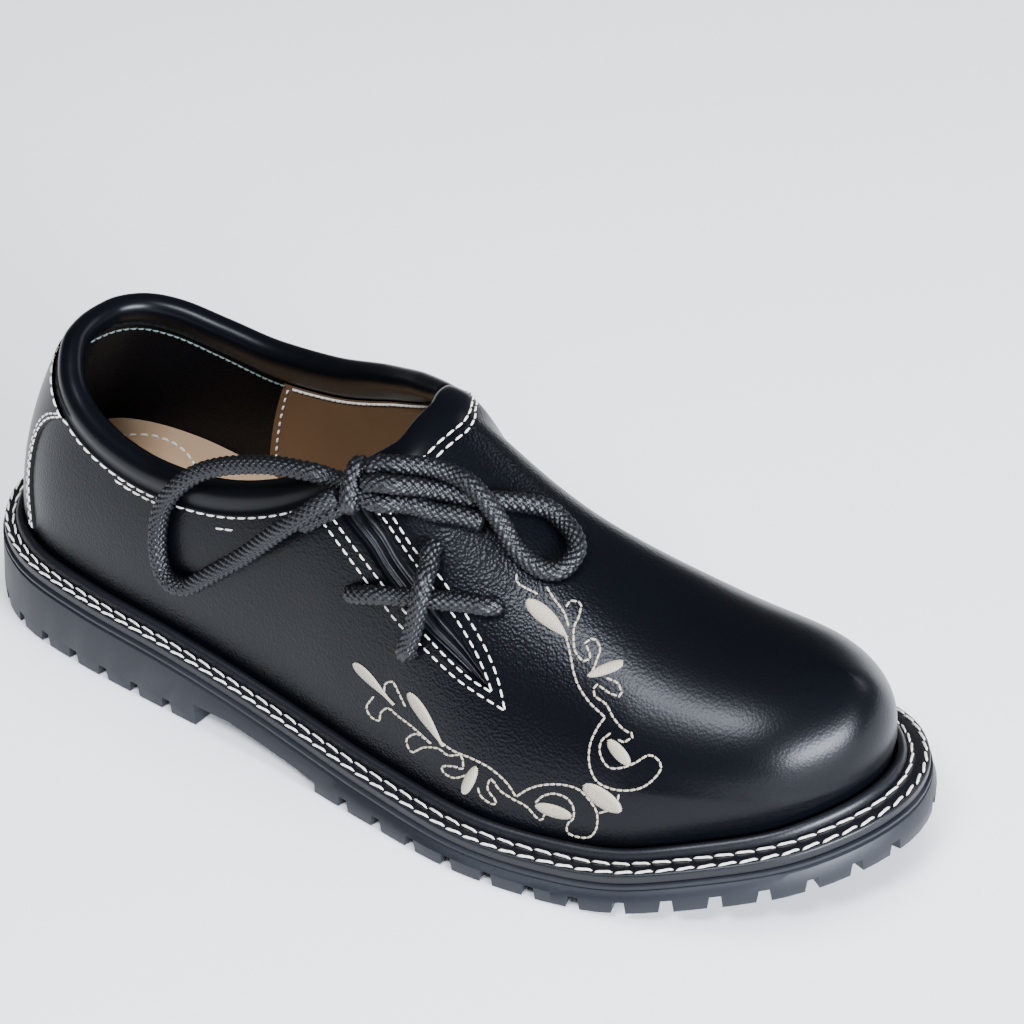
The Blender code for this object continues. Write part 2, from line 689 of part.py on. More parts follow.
def slit_cutter():
    """Body that cuts the lacing slit through the outer wall and through the collar's roll."""
    points, run, across, outward = slit_line()
    widths = column(SLIT, SLIT_COLUMNS, "width") * SLIT_WIDTH
    points = [points[0] - run * ROLL_HEIGHT * 2] + points
    widths = [widths[0]] + list(widths)
    verts, faces = [], []
    for point, width in zip(points, widths):
        for reach in (ROLL_THICKNESS, -ROLL_THICKNESS - UPPER_WALL - ROLL_INSET):
            verts += [point + outward * reach - across * width / 2, point + outward * reach + across * width / 2]
    for k in range(len(points) - 1):
        here, ahead = 4 * k, 4 * k + 4
        for i, j in ((0, 1), (1, 3), (3, 2), (2, 0)):
            faces.append([here + i, here + j, ahead + j, ahead + i])
    faces += [[0, 1, 3, 2], [len(verts) - i for i in (4, 2, 1, 3)]]
    cutter = make_object("slit_cutter", verts, faces, (0.5, 0.5, 0.5), 0.5)
    cutter.hide_render = True
    cutter.display_type = "WIRE"
    return cutter


def build_upper():
    """Leather upper with its lining: one wall, the padded roll round the collar, and the slit."""
    sheet, raised, faces, feather, collar, _ = upper_sheet()
    normals = sheet_normals(sheet, faces)
    outer = sheet + normals * raised[:, None]
    inner = sheet - normals * UPPER_WALL
    for v in feather:
        inner[v][2] = outer[v][2]
    count = len(outer)
    verts = list(outer) + list(inner)
    faces = faces + [[v + count for v in reversed(face)] for face in faces]
    for a, b in zip(feather, feather[1:] + feather[:1]):
        faces.append([a, a + count, b + count, b])
    loop = [v for v, _ in collar]
    outwards = normals[loop]
    for _ in range(ROLL_SMOOTHING):
        outwards = outwards * 2 + np.roll(outwards, 1, axis=0) + np.roll(outwards, -1, axis=0)
        outwards /= np.linalg.norm(outwards, axis=1, keepdims=True)
    rings = []
    for i, (v, share) in enumerate(collar):
        run = sheet[loop[(i + 1) % len(loop)]] - sheet[loop[i - 1]]
        upwards = np.cross(outwards[i], run / np.linalg.norm(run))
        ring = [v]
        for turn in ROLL_TURNS:
            angle = math.pi * turn
            across = -UPPER_WALL / 2 + share * (math.cos(angle) * ROLL_THICKNESS / 2 - ROLL_INSET)
            along = share * ROLL_HEIGHT * (1 + math.sin(angle)) / 2
            ring.append(len(verts))
            verts.append(sheet[v] + outwards[i] * across + upwards * along)
        ring.append(v + count)
        rings.append(ring)
    for ring, following in zip(rings, rings[1:] + rings[:1]):
        for j in range(len(ring) - 1):
            faces.append([ring[j], following[j], following[j + 1], ring[j + 1]])
    upper = make_object("upper", verts, faces, (0.010, 0.010, 0.012), 0.38, 60)
    cut = upper.modifiers.new("lacing slit", "BOOLEAN")
    cut.operation = "DIFFERENCE"
    cut.object = slit_cutter()
    return upper


def build_insole():
    """Leather-covered insole on the rubber, fitted to the upper's inner wall."""
    places = [k / INSOLE_STEPS for k in range(INSOLE_STEPS + 1)]
    verts, faces, index = [], [], {}

    def vertex(k, side, level):
        key = (k, OUTER if k in (0, INSOLE_STEPS) else side, level)
        if key not in index:
            edge_x = edge_point(places[k], key[1])[0]
            inset = profile_at("welt_width", edge_x) + UPPER_WALL + FIT_GAP
            inset += EDGE_ROUND if level == 2 else 0.0
            x, y = welt_edge(places[k], key[1], -inset)
            up = (0.0, INSOLE_THICKNESS - EDGE_ROUND, INSOLE_THICKNESS)[level]
            index[key] = len(verts)
            verts.append((x, y, profile_at("welt_edge", edge_x) - WELT_THICKNESS + FIT_GAP + up))
        return index[key]

    def add(ring):
        faces.append([v for i, v in enumerate(ring) if v != ring[i - 1]])

    for k in range(INSOLE_STEPS):
        for side in (OUTER, INNER):
            for level in (0, 1):
                add([vertex(k, side, level), vertex(k + 1, side, level),
                     vertex(k + 1, side, level + 1), vertex(k, side, level + 1)])
        for level in (0, 2):
            add([vertex(k, OUTER, level), vertex(k + 1, OUTER, level),
                 vertex(k + 1, INNER, level), vertex(k, INNER, level)])
    return make_object("insole", verts, faces, (0.42, 0.22, 0.08), 0.6)


def build_gusset():
    """Soft leather gusset that lines the upper behind the lacing slit."""
    sheet, _, faces, _, _, side_grid = upper_sheet()
    normals = sheet_normals(sheet, faces)
    first, last = GUSSET_ROWS
    rows = [first + k / COLUMNS_PER_ROW for k in range(int((last - first) * COLUMNS_PER_ROW) + 1)]
    levels = range(GUSSET_LEVELS[0], GUSSET_LEVELS[1] + 1)
    grid = [side_grid[row, level] for row in rows for level in levels]
    front = sheet[grid] - normals[grid] * (UPPER_WALL + GUSSET_GAP)
    back = front - normals[grid] * GUSSET_THICKNESS
    size, count = len(levels), len(grid)
    faces = []
    for i in range(len(rows) - 1):
        for j in range(size - 1):
            quad = [i * size + j, (i + 1) * size + j, (i + 1) * size + j + 1, i * size + j + 1]
            faces += [quad, [v + count for v in reversed(quad)]]
    rim = list(range(size)) + [i * size + size - 1 for i in range(1, len(rows))]
    rim += [count - 1 - j for j in range(1, size)] + [i * size for i in range(len(rows) - 2, 0, -1)]
    for a, b in zip(rim, rim[1:] + rim[:1]):
        faces.append([a, b, b + count, a + count])
    return make_object("gusset", list(front) + list(back), faces, (0.010, 0.010, 0.012), 0.45)


def route_points(route, step=LACE_STEP):
    """Points at even steps on the smooth curve through a route's own points."""
    route = np.array(route)
    lengths = np.concatenate([[0], np.cumsum(np.linalg.norm(np.diff(route, axis=0), axis=1))])
    count = max(2, round(lengths[-1] / step))
    marks = np.linspace(0, lengths[-1], count + 1)
    return np.array([[smooth(lengths, route[:, axis], mark) for axis in range(3)] for mark in marks])


def tube(name, route):
    """A straight-sided tube of the lace's thickness along a route, as a mesh."""
    points = route_points(route)
    side = np.cross(points[1] - points[0], (0, 0, 1))
    verts, faces = [], []
    for k, point in enumerate(points):
        run = points[min(k + 1, len(points) - 1)] - points[max(k - 1, 0)]
        run /= np.linalg.norm(run)
        side = side - run * np.dot(side, run)
        side /= np.linalg.norm(side)
        up = np.cross(run, side)
        for j in range(LACE_SIDES):
            angle = 2 * math.pi * j / LACE_SIDES
            verts.append(point + (side * math.cos(angle) + up * math.sin(angle)) * LACE_THICKNESS / 2)
    for k in range(len(points) - 1):
        for j in range(LACE_SIDES):
            here, ahead, after = k * LACE_SIDES, (k + 1) * LACE_SIDES, (j + 1) % LACE_SIDES
            faces.append([here + j, here + after, ahead + after, ahead + j])
    faces += [list(range(LACE_SIDES)), [len(verts) - 1 - j for j in range(LACE_SIDES)]]
    return make_object(name, verts, faces, (0.012, 0.012, 0.014), 0.8)


def join(thing, other):
    """Joins a helper body, hidden in renders, to a piece."""
    other.hide_render = True
    other.display_type = "WIRE"
    union = thing.modifiers.new(other.name, "BOOLEAN")
    union.operation = "UNION"
    union.object = other


def build_lace_crossing():
    """The two strands that cross over the slit, joined where they touch, clear of the leather."""
    crossing = tube("lace_crossing", CROSSING_UNDER)
    join(crossing, tube("crossing_over", CROSSING_OVER))
    return crossing


def build_lace_knot():
    """The bow's knot as a rounded body, joined with the strands that go down to the top eyelets."""
    along, out = np.array(KNOT_ALONG), np.array(KNOT_OUT)
    across = np.cross(along, out)
    shaped = bmesh.new()
    bmesh.ops.create_uvsphere(shaped, u_segments=12, v_segments=7, radius=0.5)
    verts = []
    for v in shaped.verts:
        x, y, z = v.co
        verts.append(np.array(KNOT_MIDDLE) + across * x * KNOT_WIDTH + out * y * KNOT_DEPTH
                     + along * z * KNOT_LENGTH)
    faces = [[v.index for v in face.verts] for face in shaped.faces]
    shaped.free()
    knot = make_object("lace_knot", verts, faces, (0.012, 0.012, 0.014), 0.8)
    join(knot, tube("knot_strand_rear", KNOT_REAR))
    join(knot, tube("knot_strand_front", KNOT_FRONT))
    return knot


def build_lace_cord(name, route):
    """A free stretch of the lace as a curve with a round section."""
    curve = bpy.data.curves.new(name, "CURVE")
    curve.dimensions = "3D"
    curve.bevel_depth = LACE_THICKNESS / 2
    curve.bevel_resolution = 2
    curve.use_fill_caps = True
    points = route_points(route) - np.array([CENTRE_X, CENTRE_Y, 0])
    line = curve.splines.new("POLY")
    line.points.add(len(points) - 1)
    for spot, point in zip(line.points, points):
        spot.co = (*point, 1)
    cord = bpy.data.objects.new(name, curve)
    bpy.context.collection.objects.link(cord)
    give_material(cord, (0.012, 0.012, 0.014), 0.8)
    return cord


for thing in list(bpy.data.objects):
    bpy.data.objects.remove(thing)

build_outsole()
build_welt()
build_insole()
build_upper()
build_gusset()
build_lace_crossing()
build_lace_knot()
build_lace_cord("lace_loop_rear", LOOP_REAR)
build_lace_cord("lace_loop_front", LOOP_FRONT)
build_lace_cord("lace_end", FREE_END)
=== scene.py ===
import math
import bpy
import numpy as np
from mathutils import Matrix, Vector
from mathutils.bvhtree import BVHTree


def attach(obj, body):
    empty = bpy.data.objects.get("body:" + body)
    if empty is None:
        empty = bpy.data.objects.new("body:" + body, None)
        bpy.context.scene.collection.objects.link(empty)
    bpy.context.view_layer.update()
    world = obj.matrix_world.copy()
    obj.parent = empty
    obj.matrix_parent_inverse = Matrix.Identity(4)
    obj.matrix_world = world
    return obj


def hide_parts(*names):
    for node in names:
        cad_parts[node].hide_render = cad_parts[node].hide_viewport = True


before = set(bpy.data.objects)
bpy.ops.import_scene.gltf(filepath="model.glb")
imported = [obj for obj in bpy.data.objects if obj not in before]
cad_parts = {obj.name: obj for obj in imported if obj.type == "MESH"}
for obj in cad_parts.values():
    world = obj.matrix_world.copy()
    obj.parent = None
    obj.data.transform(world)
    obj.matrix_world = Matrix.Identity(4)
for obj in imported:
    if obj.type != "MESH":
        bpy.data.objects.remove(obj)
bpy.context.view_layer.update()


# ---- Outsole ----
# One moulding of blue-black rubber: heel and fore tread with lugs, an arch between them and a lip
# under the welt. It is a merged copy of the CAD solid whose edges are rounded as the mould leaves them.

def linear(hex_colour):
    """An sRGB hex colour as linear values."""
    channels = [int(hex_colour[i:i + 2], 16) / 255 for i in (0, 2, 4)]
    return [c / 12.92 if c <= 0.04045 else ((c + 0.055) / 1.055) ** 2.4 for c in channels] + [1.0]


def finish_named(name, hex_colour, roughness, ior=1.5, **sockets):
    """A new material with its plain values on the shader's own sockets."""
    material = bpy.data.materials.new(name)
    material.use_nodes = True
    shader = material.node_tree.nodes["Principled BSDF"]
    shader.inputs["Base Color"].default_value = linear(hex_colour)
    shader.inputs["Roughness"].default_value = roughness
    shader.inputs["IOR"].default_value = ior
    for socket, value in sockets.items():
        shader.inputs[socket.replace("_", " ")].default_value = value
    return material


def add(material, kind, settings=(), links=()):
    """Adds a node: settings are its properties or input values, links join its inputs to outputs."""
    tree = material.node_tree
    node = tree.nodes.new(kind)
    for key, value in dict(settings).items():
        if hasattr(node, str(key)):
            setattr(node, key, value)
        else:
            node.inputs[key].default_value = value
    for socket, source in dict(links).items():
        tree.links.new(source, node.inputs[socket])
    return node


def shader_of(material):
    return material.node_tree.nodes["Principled BSDF"]


def roughen(material, scale, detail, strength, depth):
    """Gives a material a bump of noise, with so many marks to a metre. Returns the node of its places."""
    place = add(material, "ShaderNodeTexCoord")
    noise = add(material, "ShaderNodeTexNoise", {"Scale": scale, "Detail": detail},
                {"Vector": place.outputs["Object"]})
    bump = add(material, "ShaderNodeBump", {"Strength": strength, "Distance": depth}, {"Height": noise.outputs["Fac"]})
    material.node_tree.links.new(bump.outputs["Normal"], shader_of(material).inputs["Normal"])
    return place


# Cured rubber with carbon black: dull, with a faint mottle of mould marks about 1.5 mm across.
rubber = finish_named("moulded rubber", "080B13", 0.52, 1.52, Specular_IOR_Level=0.35)
roughen(rubber, 650.0, 3.0, 0.18, 0.0003)

MOULD_RADIUS = 0.0006
bpy.ops.object.select_all(action="DESELECT")
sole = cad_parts["outsole"].copy()
sole.data = sole.data.copy()
sole.name = "moulded_outsole"
bpy.context.collection.objects.link(sole)
sole.select_set(True)
bpy.context.view_layer.objects.active = sole
bpy.ops.object.mode_set(mode="EDIT")
bpy.ops.mesh.select_all(action="SELECT")
bpy.ops.mesh.remove_doubles(threshold=0.00002)
bpy.ops.mesh.dissolve_limited(angle_limit=math.radians(0.6))
bpy.ops.object.mode_set(mode="OBJECT")
rounded = sole.modifiers.new("moulded_edges", "BEVEL")
rounded.width = MOULD_RADIUS
rounded.segments = 2
rounded.limit_method = "ANGLE"
rounded.angle_limit = math.radians(40)
bpy.ops.object.modifier_apply(modifier="moulded_edges")
bpy.ops.object.shade_smooth_by_angle(angle=math.radians(35))
sole.data.materials.clear()
sole.data.materials.append(rubber)
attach(sole, "root")
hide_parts("outsole")


# ---- Welt ----
# A strip of dressed black leather round the whole shoe, about 3 mm thick, sewn to the sole with
# two rows of thick cream thread. Its inner edge is a rounded bead that closes against the upper.

SHIFT = np.array([0.1525, -0.00416848, 0.0])
LENGTH = 0.305
BALL_WIDTH = 0.1102
HEEL_HEIGHT = 0.0252
WELT_WIDTH = 0.0100
WELT_THICKNESS = 0.0030
BEAD_WIDTH = 0.0034
BEAD_HEIGHT = 0.0026
OUTER, INNER = -1, 1

# Outline of the welt: share of the length, outer side and inner side as shares of the ball width.
OUTLINE = np.array((
    (0.000, 0.004, 0.004), (0.012, -0.126, 0.138), (0.040, -0.236, 0.240), (0.090, -0.326, 0.306),
    (0.180, -0.382, 0.332), (0.300, -0.415, 0.316), (0.420, -0.446, 0.304), (0.550, -0.503, 0.350),
    (0.660, -0.538, 0.424), (0.740, -0.518, 0.459), (0.820, -0.468, 0.456), (0.890, -0.377, 0.423),
    (0.945, -0.274, 0.341), (0.980, -0.149, 0.230), (1.000, 0.045, 0.045)))
# Share of the length, height of the welt's edge over the heel height, its width over the full width.
PROFILE = np.array((
    (0.00, 1.000, 0.72), (0.15, 0.910, 0.75), (0.30, 0.810, 0.76), (0.45, 0.590, 0.80), (0.60, 0.450, 0.90),
    (0.74, 0.430, 1.00), (0.80, 0.500, 1.00), (0.86, 0.670, 1.00), (0.93, 0.880, 1.00), (1.00, 1.120, 1.00)))


def smooth(places, values, at):
    """Values at places on the smooth curve through a column's points."""
    at = np.asarray(at, dtype=float)
    k = np.clip(np.searchsorted(places, at) - 1, 0, len(places) - 2)
    slopes = np.gradient(values, places)
    step = places[k + 1] - places[k]
    u = (at - places[k]) / step
    a = values[k] * (1 + 2 * u) * (1 - u) ** 2 + slopes[k] * step * u * (1 - u) ** 2
    b = values[k + 1] * u * u * (3 - 2 * u) + slopes[k + 1] * step * u * u * (u - 1)
    return a + b


EDGE_PLACES = np.linspace(0, 1, 4001)
EDGE_TURNS = np.arccos(1 - 2 * OUTLINE[:, 0]) / math.pi
EDGES = {side: smooth(EDGE_TURNS, OUTLINE[:, column] * BALL_WIDTH, EDGE_PLACES)
         for side, column in ((OUTER, 1), (INNER, 2))}


def edge_point(around, side):
    """Plan point of the welt's edge at a place round it, 0 at the heel and 1 at the toe."""
    return np.array([LENGTH * (1 - math.cos(math.pi * around)) / 2, np.interp(around, EDGE_PLACES, EDGES[side])])


def welt_edge(around, side, grow=0.0):
    """Plan point of the welt's edge, moved outwards by grow."""
    if around < 0.001 or around > 0.999:
        out = np.array([-1.0 if around < 0.5 else 1.0, 0.0])
    else:
        run = edge_point(around + 0.001, side) - edge_point(around - 0.001, side)
        out = np.array([run[1], -run[0]]) / np.linalg.norm(run) * -side
    return edge_point(around, side) + out * grow


PROFILE_X = np.linspace(0, LENGTH, 2001)
HEIGHTS = HEEL_HEIGHT * smooth(PROFILE[:, 0] * LENGTH, PROFILE[:, 1], PROFILE_X)
WIDTHS = WELT_WIDTH * smooth(PROFILE[:, 0] * LENGTH, PROFILE[:, 2], PROFILE_X)


def welt_height(x):
    return float(np.interp(x, PROFILE_X, HEIGHTS))


def welt_width(x):
    return float(np.interp(x, PROFILE_X, WIDTHS))


def settle(thing, material, angle=None):
    """Gives a piece its material and smooth shading, and lets it move with the shoe."""
    thing.data.materials.clear()
    thing.data.materials.append(material)
    for face in thing.data.polygons:
        face.use_smooth = True
    if angle is not None:
        thing.data.set_sharp_from_angle(angle=math.radians(angle))
    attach(thing, "root")
    return thing


def lay_sheet(name, points):
    """A grid primitive whose points are laid, row by row, on a sheet of points in the shoe's sizes."""
    points = np.asarray(points)
    count, size = points.shape[:2]
    bpy.ops.object.select_all(action="DESELECT")
    bpy.ops.mesh.primitive_grid_add(x_subdivisions=size - 1, y_subdivisions=count - 1, size=1)
    thing = bpy.context.active_object
    thing.name = name
    thing.data.name = name
    thing.data.vertices.foreach_set("co", (points - SHIFT).reshape(-1))
    bpy.ops.object.mode_set(mode="EDIT")
    bpy.ops.mesh.select_all(action="SELECT")
    bpy.ops.mesh.remove_doubles(threshold=0.00001)
    bpy.ops.mesh.normals_make_consistent(inside=False)
    bpy.ops.object.mode_set(mode="OBJECT")
    return thing


def round_places(count):
    """Places all round the welt: forwards on the outer side, then back on the inner side."""
    places = np.linspace(0, 1, count + 1)
    return [(a, OUTER) for a in places] + [(a, INNER) for a in places[-2::-1]]


# The stitches pull two grooves into the strip, at these shares of its flat width. It lies a hair
# above the sole, and its outer edge is eased.
STITCH_ROWS = (0.22, 0.80)
GROOVE_DEPTH, GROOVE_SPREAD = 0.00035, 0.0007
SEAT_GAP = 0.0003
EASED_EDGE = [(0.0, SEAT_GAP), (0.0, 0.0012), (0.0, 0.0023), (0.0002, 0.0028), (0.0007, WELT_THICKNESS)]
welt_rings = []
for around, side in round_places(260):
    edge_x = edge_point(around, side)[0]
    inner = welt_width(edge_x) - SEAT_GAP
    level = welt_height(edge_x) - WELT_THICKNESS
    section = list(EASED_EDGE)
    bead_start = inner - BEAD_WIDTH
    for inset in np.linspace(0.0011, bead_start - 0.0003, 14):
        dip = sum(GROOVE_DEPTH * math.exp(-((inset - row * bead_start) / GROOVE_SPREAD) ** 2) for row in STITCH_ROWS)
        section.append((inset, WELT_THICKNESS - dip))
    section.append((bead_start, WELT_THICKNESS - 0.0003))
    for turn in np.linspace(0.1, 0.9, 9):
        angle = math.pi * turn
        section.append((inner - BEAD_WIDTH * (1 + math.cos(angle)) / 2,
                        WELT_THICKNESS + BEAD_HEIGHT * math.sin(angle)))
    section += [(inner, WELT_THICKNESS), (inner, SEAT_GAP), (0.0, SEAT_GAP)]
    welt_rings.append([(*welt_edge(around, side, -inset), level + up) for inset, up in section])
welt = lay_sheet("welt_strip", welt_rings)

# Dressed welt leather: nearly black, an oiled edge that gives a dull gloss, pores 0.7 mm apart.
welt_leather = finish_named("dressed welt leather", "0A0B0F", 0.4, 1.48, Specular_IOR_Level=0.35)
roughen(welt_leather, 1400.0, 2.0, 0.25, 0.0002)
settle(welt, welt_leather, 50)
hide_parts("welt")


# ---- Welt stitches ----
# Two rows of thick waxed thread in three plies. The outer stitches lie slanted beside the edge,
# each one ending where the next begins; the inner row is laid closer, like a rope.

def close_ends():
    """In edit mode, closes the open ends of a tube, turns its faces outwards and leaves edit mode."""
    bpy.ops.mesh.select_all(action="DESELECT")
    bpy.ops.mesh.select_non_manifold()
    bpy.ops.mesh.edge_face_add()
    bpy.ops.mesh.select_all(action="SELECT")
    bpy.ops.mesh.normals_make_consistent(inside=False)
    bpy.ops.object.mode_set(mode="OBJECT")


def thread_model(length, thickness, plies=0, turns=0, sides=8, rings=6):
    """A stitch modelled once: a cylinder with twisted plies whose ends go down into the leather."""
    bpy.ops.object.select_all(action="DESELECT")
    bpy.ops.mesh.primitive_grid_add(x_subdivisions=sides, y_subdivisions=rings - 1, size=1)
    model = bpy.context.active_object
    points = []
    for i in range(rings):
        u = i / (rings - 1) * 2 - 1
        girth = math.sqrt(max(0.02, 1 - abs(u) ** 5))
        sink = -thickness * 0.55 * abs(u) ** 4
        for j in range(sides + 1):
            turn = 2 * math.pi * (j % sides) / sides
            ply = 1 + 0.16 * math.cos(plies * turn - turns * 2 * math.pi * u) if plies else 1
            radius = thickness / 2 * girth * ply
            points.append((u * length / 2, math.cos(turn) * radius, math.sin(turn) * radius + sink))
    model.data.vertices.foreach_set("co", np.array(points).reshape(-1))
    bpy.ops.object.mode_set(mode="EDIT")
    bpy.ops.mesh.select_all(action="SELECT")
    bpy.ops.mesh.remove_doubles(threshold=0.000001)
    close_ends()
    verts = np.array([v.co for v in model.data.vertices])
    faces = [list(face.vertices) for face in model.data.polygons]
    bpy.data.objects.remove(model)
    return verts, faces


def mesh_piece(name, verts, faces, material):
    """A piece made of many small forms: its points are in the shoe's sizes."""
    mesh = bpy.data.meshes.new(name)
    mesh.from_pydata((np.asarray(verts) - SHIFT).tolist(), [], faces)
    thing = bpy.data.objects.new(name, mesh)
    bpy.context.collection.objects.link(thing)
    return settle(thing, material)


def sew(name, stitches, model, material):
    """One mesh of copies of a modelled stitch. Each has its middle, its run and its outward normal."""
    verts, faces, offset = [], [], 0
    shape, ring = model
    for middle, run, out in stitches:
        run = run / np.linalg.norm(run)
        side = np.cross(out, run)
        side /= np.linalg.norm(side)
        up = np.cross(run, side)
        verts.append(middle + shape @ np.array([run, side, up]))
        faces += [[v + offset for v in face] for face in ring]
        offset += len(shape)
    return mesh_piece(name, np.concatenate(verts), faces, material)


def even_marks(points, pitch):
    """Places along a line of points, a whole number of pitches apart: middles and runs."""
    lengths = np.concatenate([[0], np.cumsum(np.linalg.norm(np.diff(points, axis=0), axis=1))])
    count = max(1, round(lengths[-1] / pitch))
    marks = (np.arange(count) + 0.5) * lengths[-1] / count

    def at(mark):
        return np.array([np.interp(mark, lengths, points[:, axis]) for axis in range(3)])

    return [(at(m), at(m + pitch / 3) - at(m - pitch / 3)) for m in marks]


# Waxed polyester thread: cream, slightly glossy, with a soft edge from its loose fibres.
thread = finish_named("waxed cream thread", "DEDAD0", 0.5, 1.5, Sheen_Weight=0.15)


def welt_line(share, up):
    """A line round the welt at a share of its flat width, and at a height over it."""
    line = []
    for around, side in round_places(400):
        edge_x = edge_point(around, side)[0]
        inset = share * (welt_width(edge_x) - SEAT_GAP - BEAD_WIDTH)
        line.append((*welt_edge(around, side, -inset), welt_height(edge_x) + up))
    return np.array(line)


UP = np.array([0.0, 0.0, 1.0])
WELT_PITCH = 0.0056
# Each row by its share of the flat width, the stitch's length and thickness, and its slant.
for name, share, length, thickness, slant in (
        ("welt_stitches_outer", STITCH_ROWS[0], 0.0051, 0.00068, 0.13),
        ("welt_stitches_inner", STITCH_ROWS[1], 0.0053, 0.00062, -0.09)):
    stitches = []
    for middle, run in even_marks(welt_line(share, 0.0001), WELT_PITCH):
        run = run / np.linalg.norm(run)
        side = np.cross(UP, run)
        stitches.append((middle, run + side * slant, np.cross(run, side)))
    sew(name, stitches, thread_model(length, thickness, 3, 0.8, 10, 9), thread)


# ---- Upper ----
# Black calf leather drawn over the last, about 2 mm with its lining: vamp and quarters are one
# smooth skin, grainier over the instep and polished at the toe. The lacing slit is cut after.

INSTEP_HEIGHT = 0.0940
UPPER_WALL = 0.0022
THROAT_ROW = 10
# Sections of the upper: place round the welt, then where the wall ends: along as a share of the
# length, across as shares of the ball width, rises as shares of the instep height; then roundness, bulge.
SECTIONS = np.array((
    (0.000, 0.089, 0.000, 0.000, 0.660, 0.660, 0.10, 0.022), (0.060, 0.097, -0.100, 0.105, 0.645, 0.662, 0.10, 0.026),
    (0.120, 0.118, -0.190, 0.185, 0.580, 0.652, 0.12, 0.032), (0.180, 0.152, -0.245, 0.235, 0.514, 0.628, 0.15, 0.034),
    (0.250, 0.202, -0.280, 0.265, 0.468, 0.588, 0.18, 0.032), (0.320, 0.264, -0.298, 0.280, 0.455, 0.558, 0.22, 0.030),
    (0.390, 0.338, -0.305, 0.272, 0.500, 0.595, 0.30, 0.026), (0.450, 0.410, -0.292, 0.242, 0.610, 0.700, 0.45, 0.010),
    (0.500, 0.475, -0.250, 0.182, 0.765, 0.825, 0.65, -0.010),
    (0.540, 0.518, -0.155, 0.105, 0.900, 0.925, 0.85, -0.030),
    (0.570, 0.533, -0.015, -0.015, 0.955, 0.955, 1.00, -0.040),
    (0.640, 0.635, 0.000, 0.000, 0.755, 0.755, 1.00, -0.030),
    (0.720, 0.740, 0.015, 0.015, 0.615, 0.615, 1.00, 0.012), (0.800, 0.825, 0.025, 0.025, 0.520, 0.520, 1.00, 0.038),
    (0.880, 0.880, 0.035, 0.035, 0.455, 0.455, 1.00, 0.032), (0.950, 0.915, 0.040, 0.040, 0.410, 0.410, 1.00, 0.026),
    (1.000, 0.925, 0.042, 0.042, 0.395, 0.395, 1.00, 0.024)))
AROUND, ALONG, OUT_SIDE, IN_SIDE, OUT_RISE, IN_RISE, ROUND, BULGE = range(8)
LAST_ROW = len(SECTIONS) - 1
TABLE_ROWS = np.linspace(0, LAST_ROW, 3201)
TABLE = [smooth(np.arange(len(SECTIONS), dtype=float), column, TABLE_ROWS) for column in SECTIONS.T]


def section_value(column, row):
    return float(np.interp(row, TABLE_ROWS, TABLE[column]))


def ridge_slope(row):
    """Fall of the ridge where a section of the front part meets it; none under the collar."""
    if row < THROAT_ROW - 1:
        return 0.0
    ridge, points = max(row, THROAT_ROW), []
    for at in (max(ridge - 0.2, THROAT_ROW), min(ridge + 0.2, LAST_ROW)):
        x = section_value(ALONG, at) * LENGTH
        points.append((x, welt_height(x) + section_value(OUT_RISE, at) * INSTEP_HEIGHT))
    fall = (points[1][1] - points[0][1]) / (points[1][0] - points[0][0])
    return fall * min(1.0, row - THROAT_ROW + 1)


def wall(row, side, ups):
    """Points of the upper's outside on one section: ups run from the welt, 0, to the collar or ridge, 1."""
    ups = np.atleast_1d(np.asarray(ups, dtype=float))
    across, rise = (OUT_SIDE, OUT_RISE) if side == OUTER else (IN_SIDE, IN_RISE)
    around = float(np.clip(section_value(AROUND, row), 0, 1))
    edge_x = edge_point(around, side)[0]
    foot = welt_edge(around, side, -welt_width(edge_x))
    low, groove_top = welt_height(edge_x) - WELT_THICKNESS + 0.0003, welt_height(edge_x) + BEAD_HEIGHT
    top = np.array([section_value(ALONG, row) * LENGTH, section_value(across, row) * BALL_WIDTH])
    roundness, swell = section_value(ROUND, row), section_value(BULGE, row) * BALL_WIDTH
    share = np.clip(ups, 0, 1)
    inwards = (1 - roundness) * share + roundness * (1 - np.cos(share * math.pi / 2))
    drop = 1 - ((1 - roundness) * share + roundness * np.sin(share * math.pi / 2))
    spread = foot - top
    place = foot - spread * inwards[:, None]
    place = place + spread / max(np.linalg.norm(spread), 0.020) * (swell * np.sin(math.pi * share))[:, None]
    crest = welt_height(top[0]) + section_value(rise, row) * INSTEP_HEIGHT
    slope = ridge_slope(row)
    height = crest + slope * (place[:, 0] - top[0])
    height = height - (crest + slope * (foot[0] - top[0]) - groove_top) * drop
    points = np.column_stack([place, height])
    points[ups < 0, 2] = low
    return points


def wall_point(row, up):
    """Point on the upper by section row and way up; past 1 the way leads down the inner side."""
    row = min(max(row, 0.0), LAST_ROW)
    return wall(row, OUTER, up)[0] if up <= 1 else wall(row, INNER, 2 - up)[0]


UPS = np.concatenate([[-1.0, 0.0], np.linspace(0, 1, 57)[1:]])
GRID_ROWS = np.linspace(0, LAST_ROW, 193)
columns = [wall(row, OUTER, UPS) for row in GRID_ROWS]
columns += [wall(row, INNER, UPS) for row in GRID_ROWS[::-1]]
shell = lay_sheet("upper_shell", columns)


def turn_outwards(thing, centre):
    """Flips a sheet whose faces look inwards, seen from a point inside the shoe."""
    centre = Vector(np.array(centre) - SHIFT)
    if sum(face.normal.dot(face.center - centre) * face.area for face in thing.data.polygons) < 0:
        thing.data.flip_normals()


turn_outwards(shell, (0.16, 0.0, 0.04))

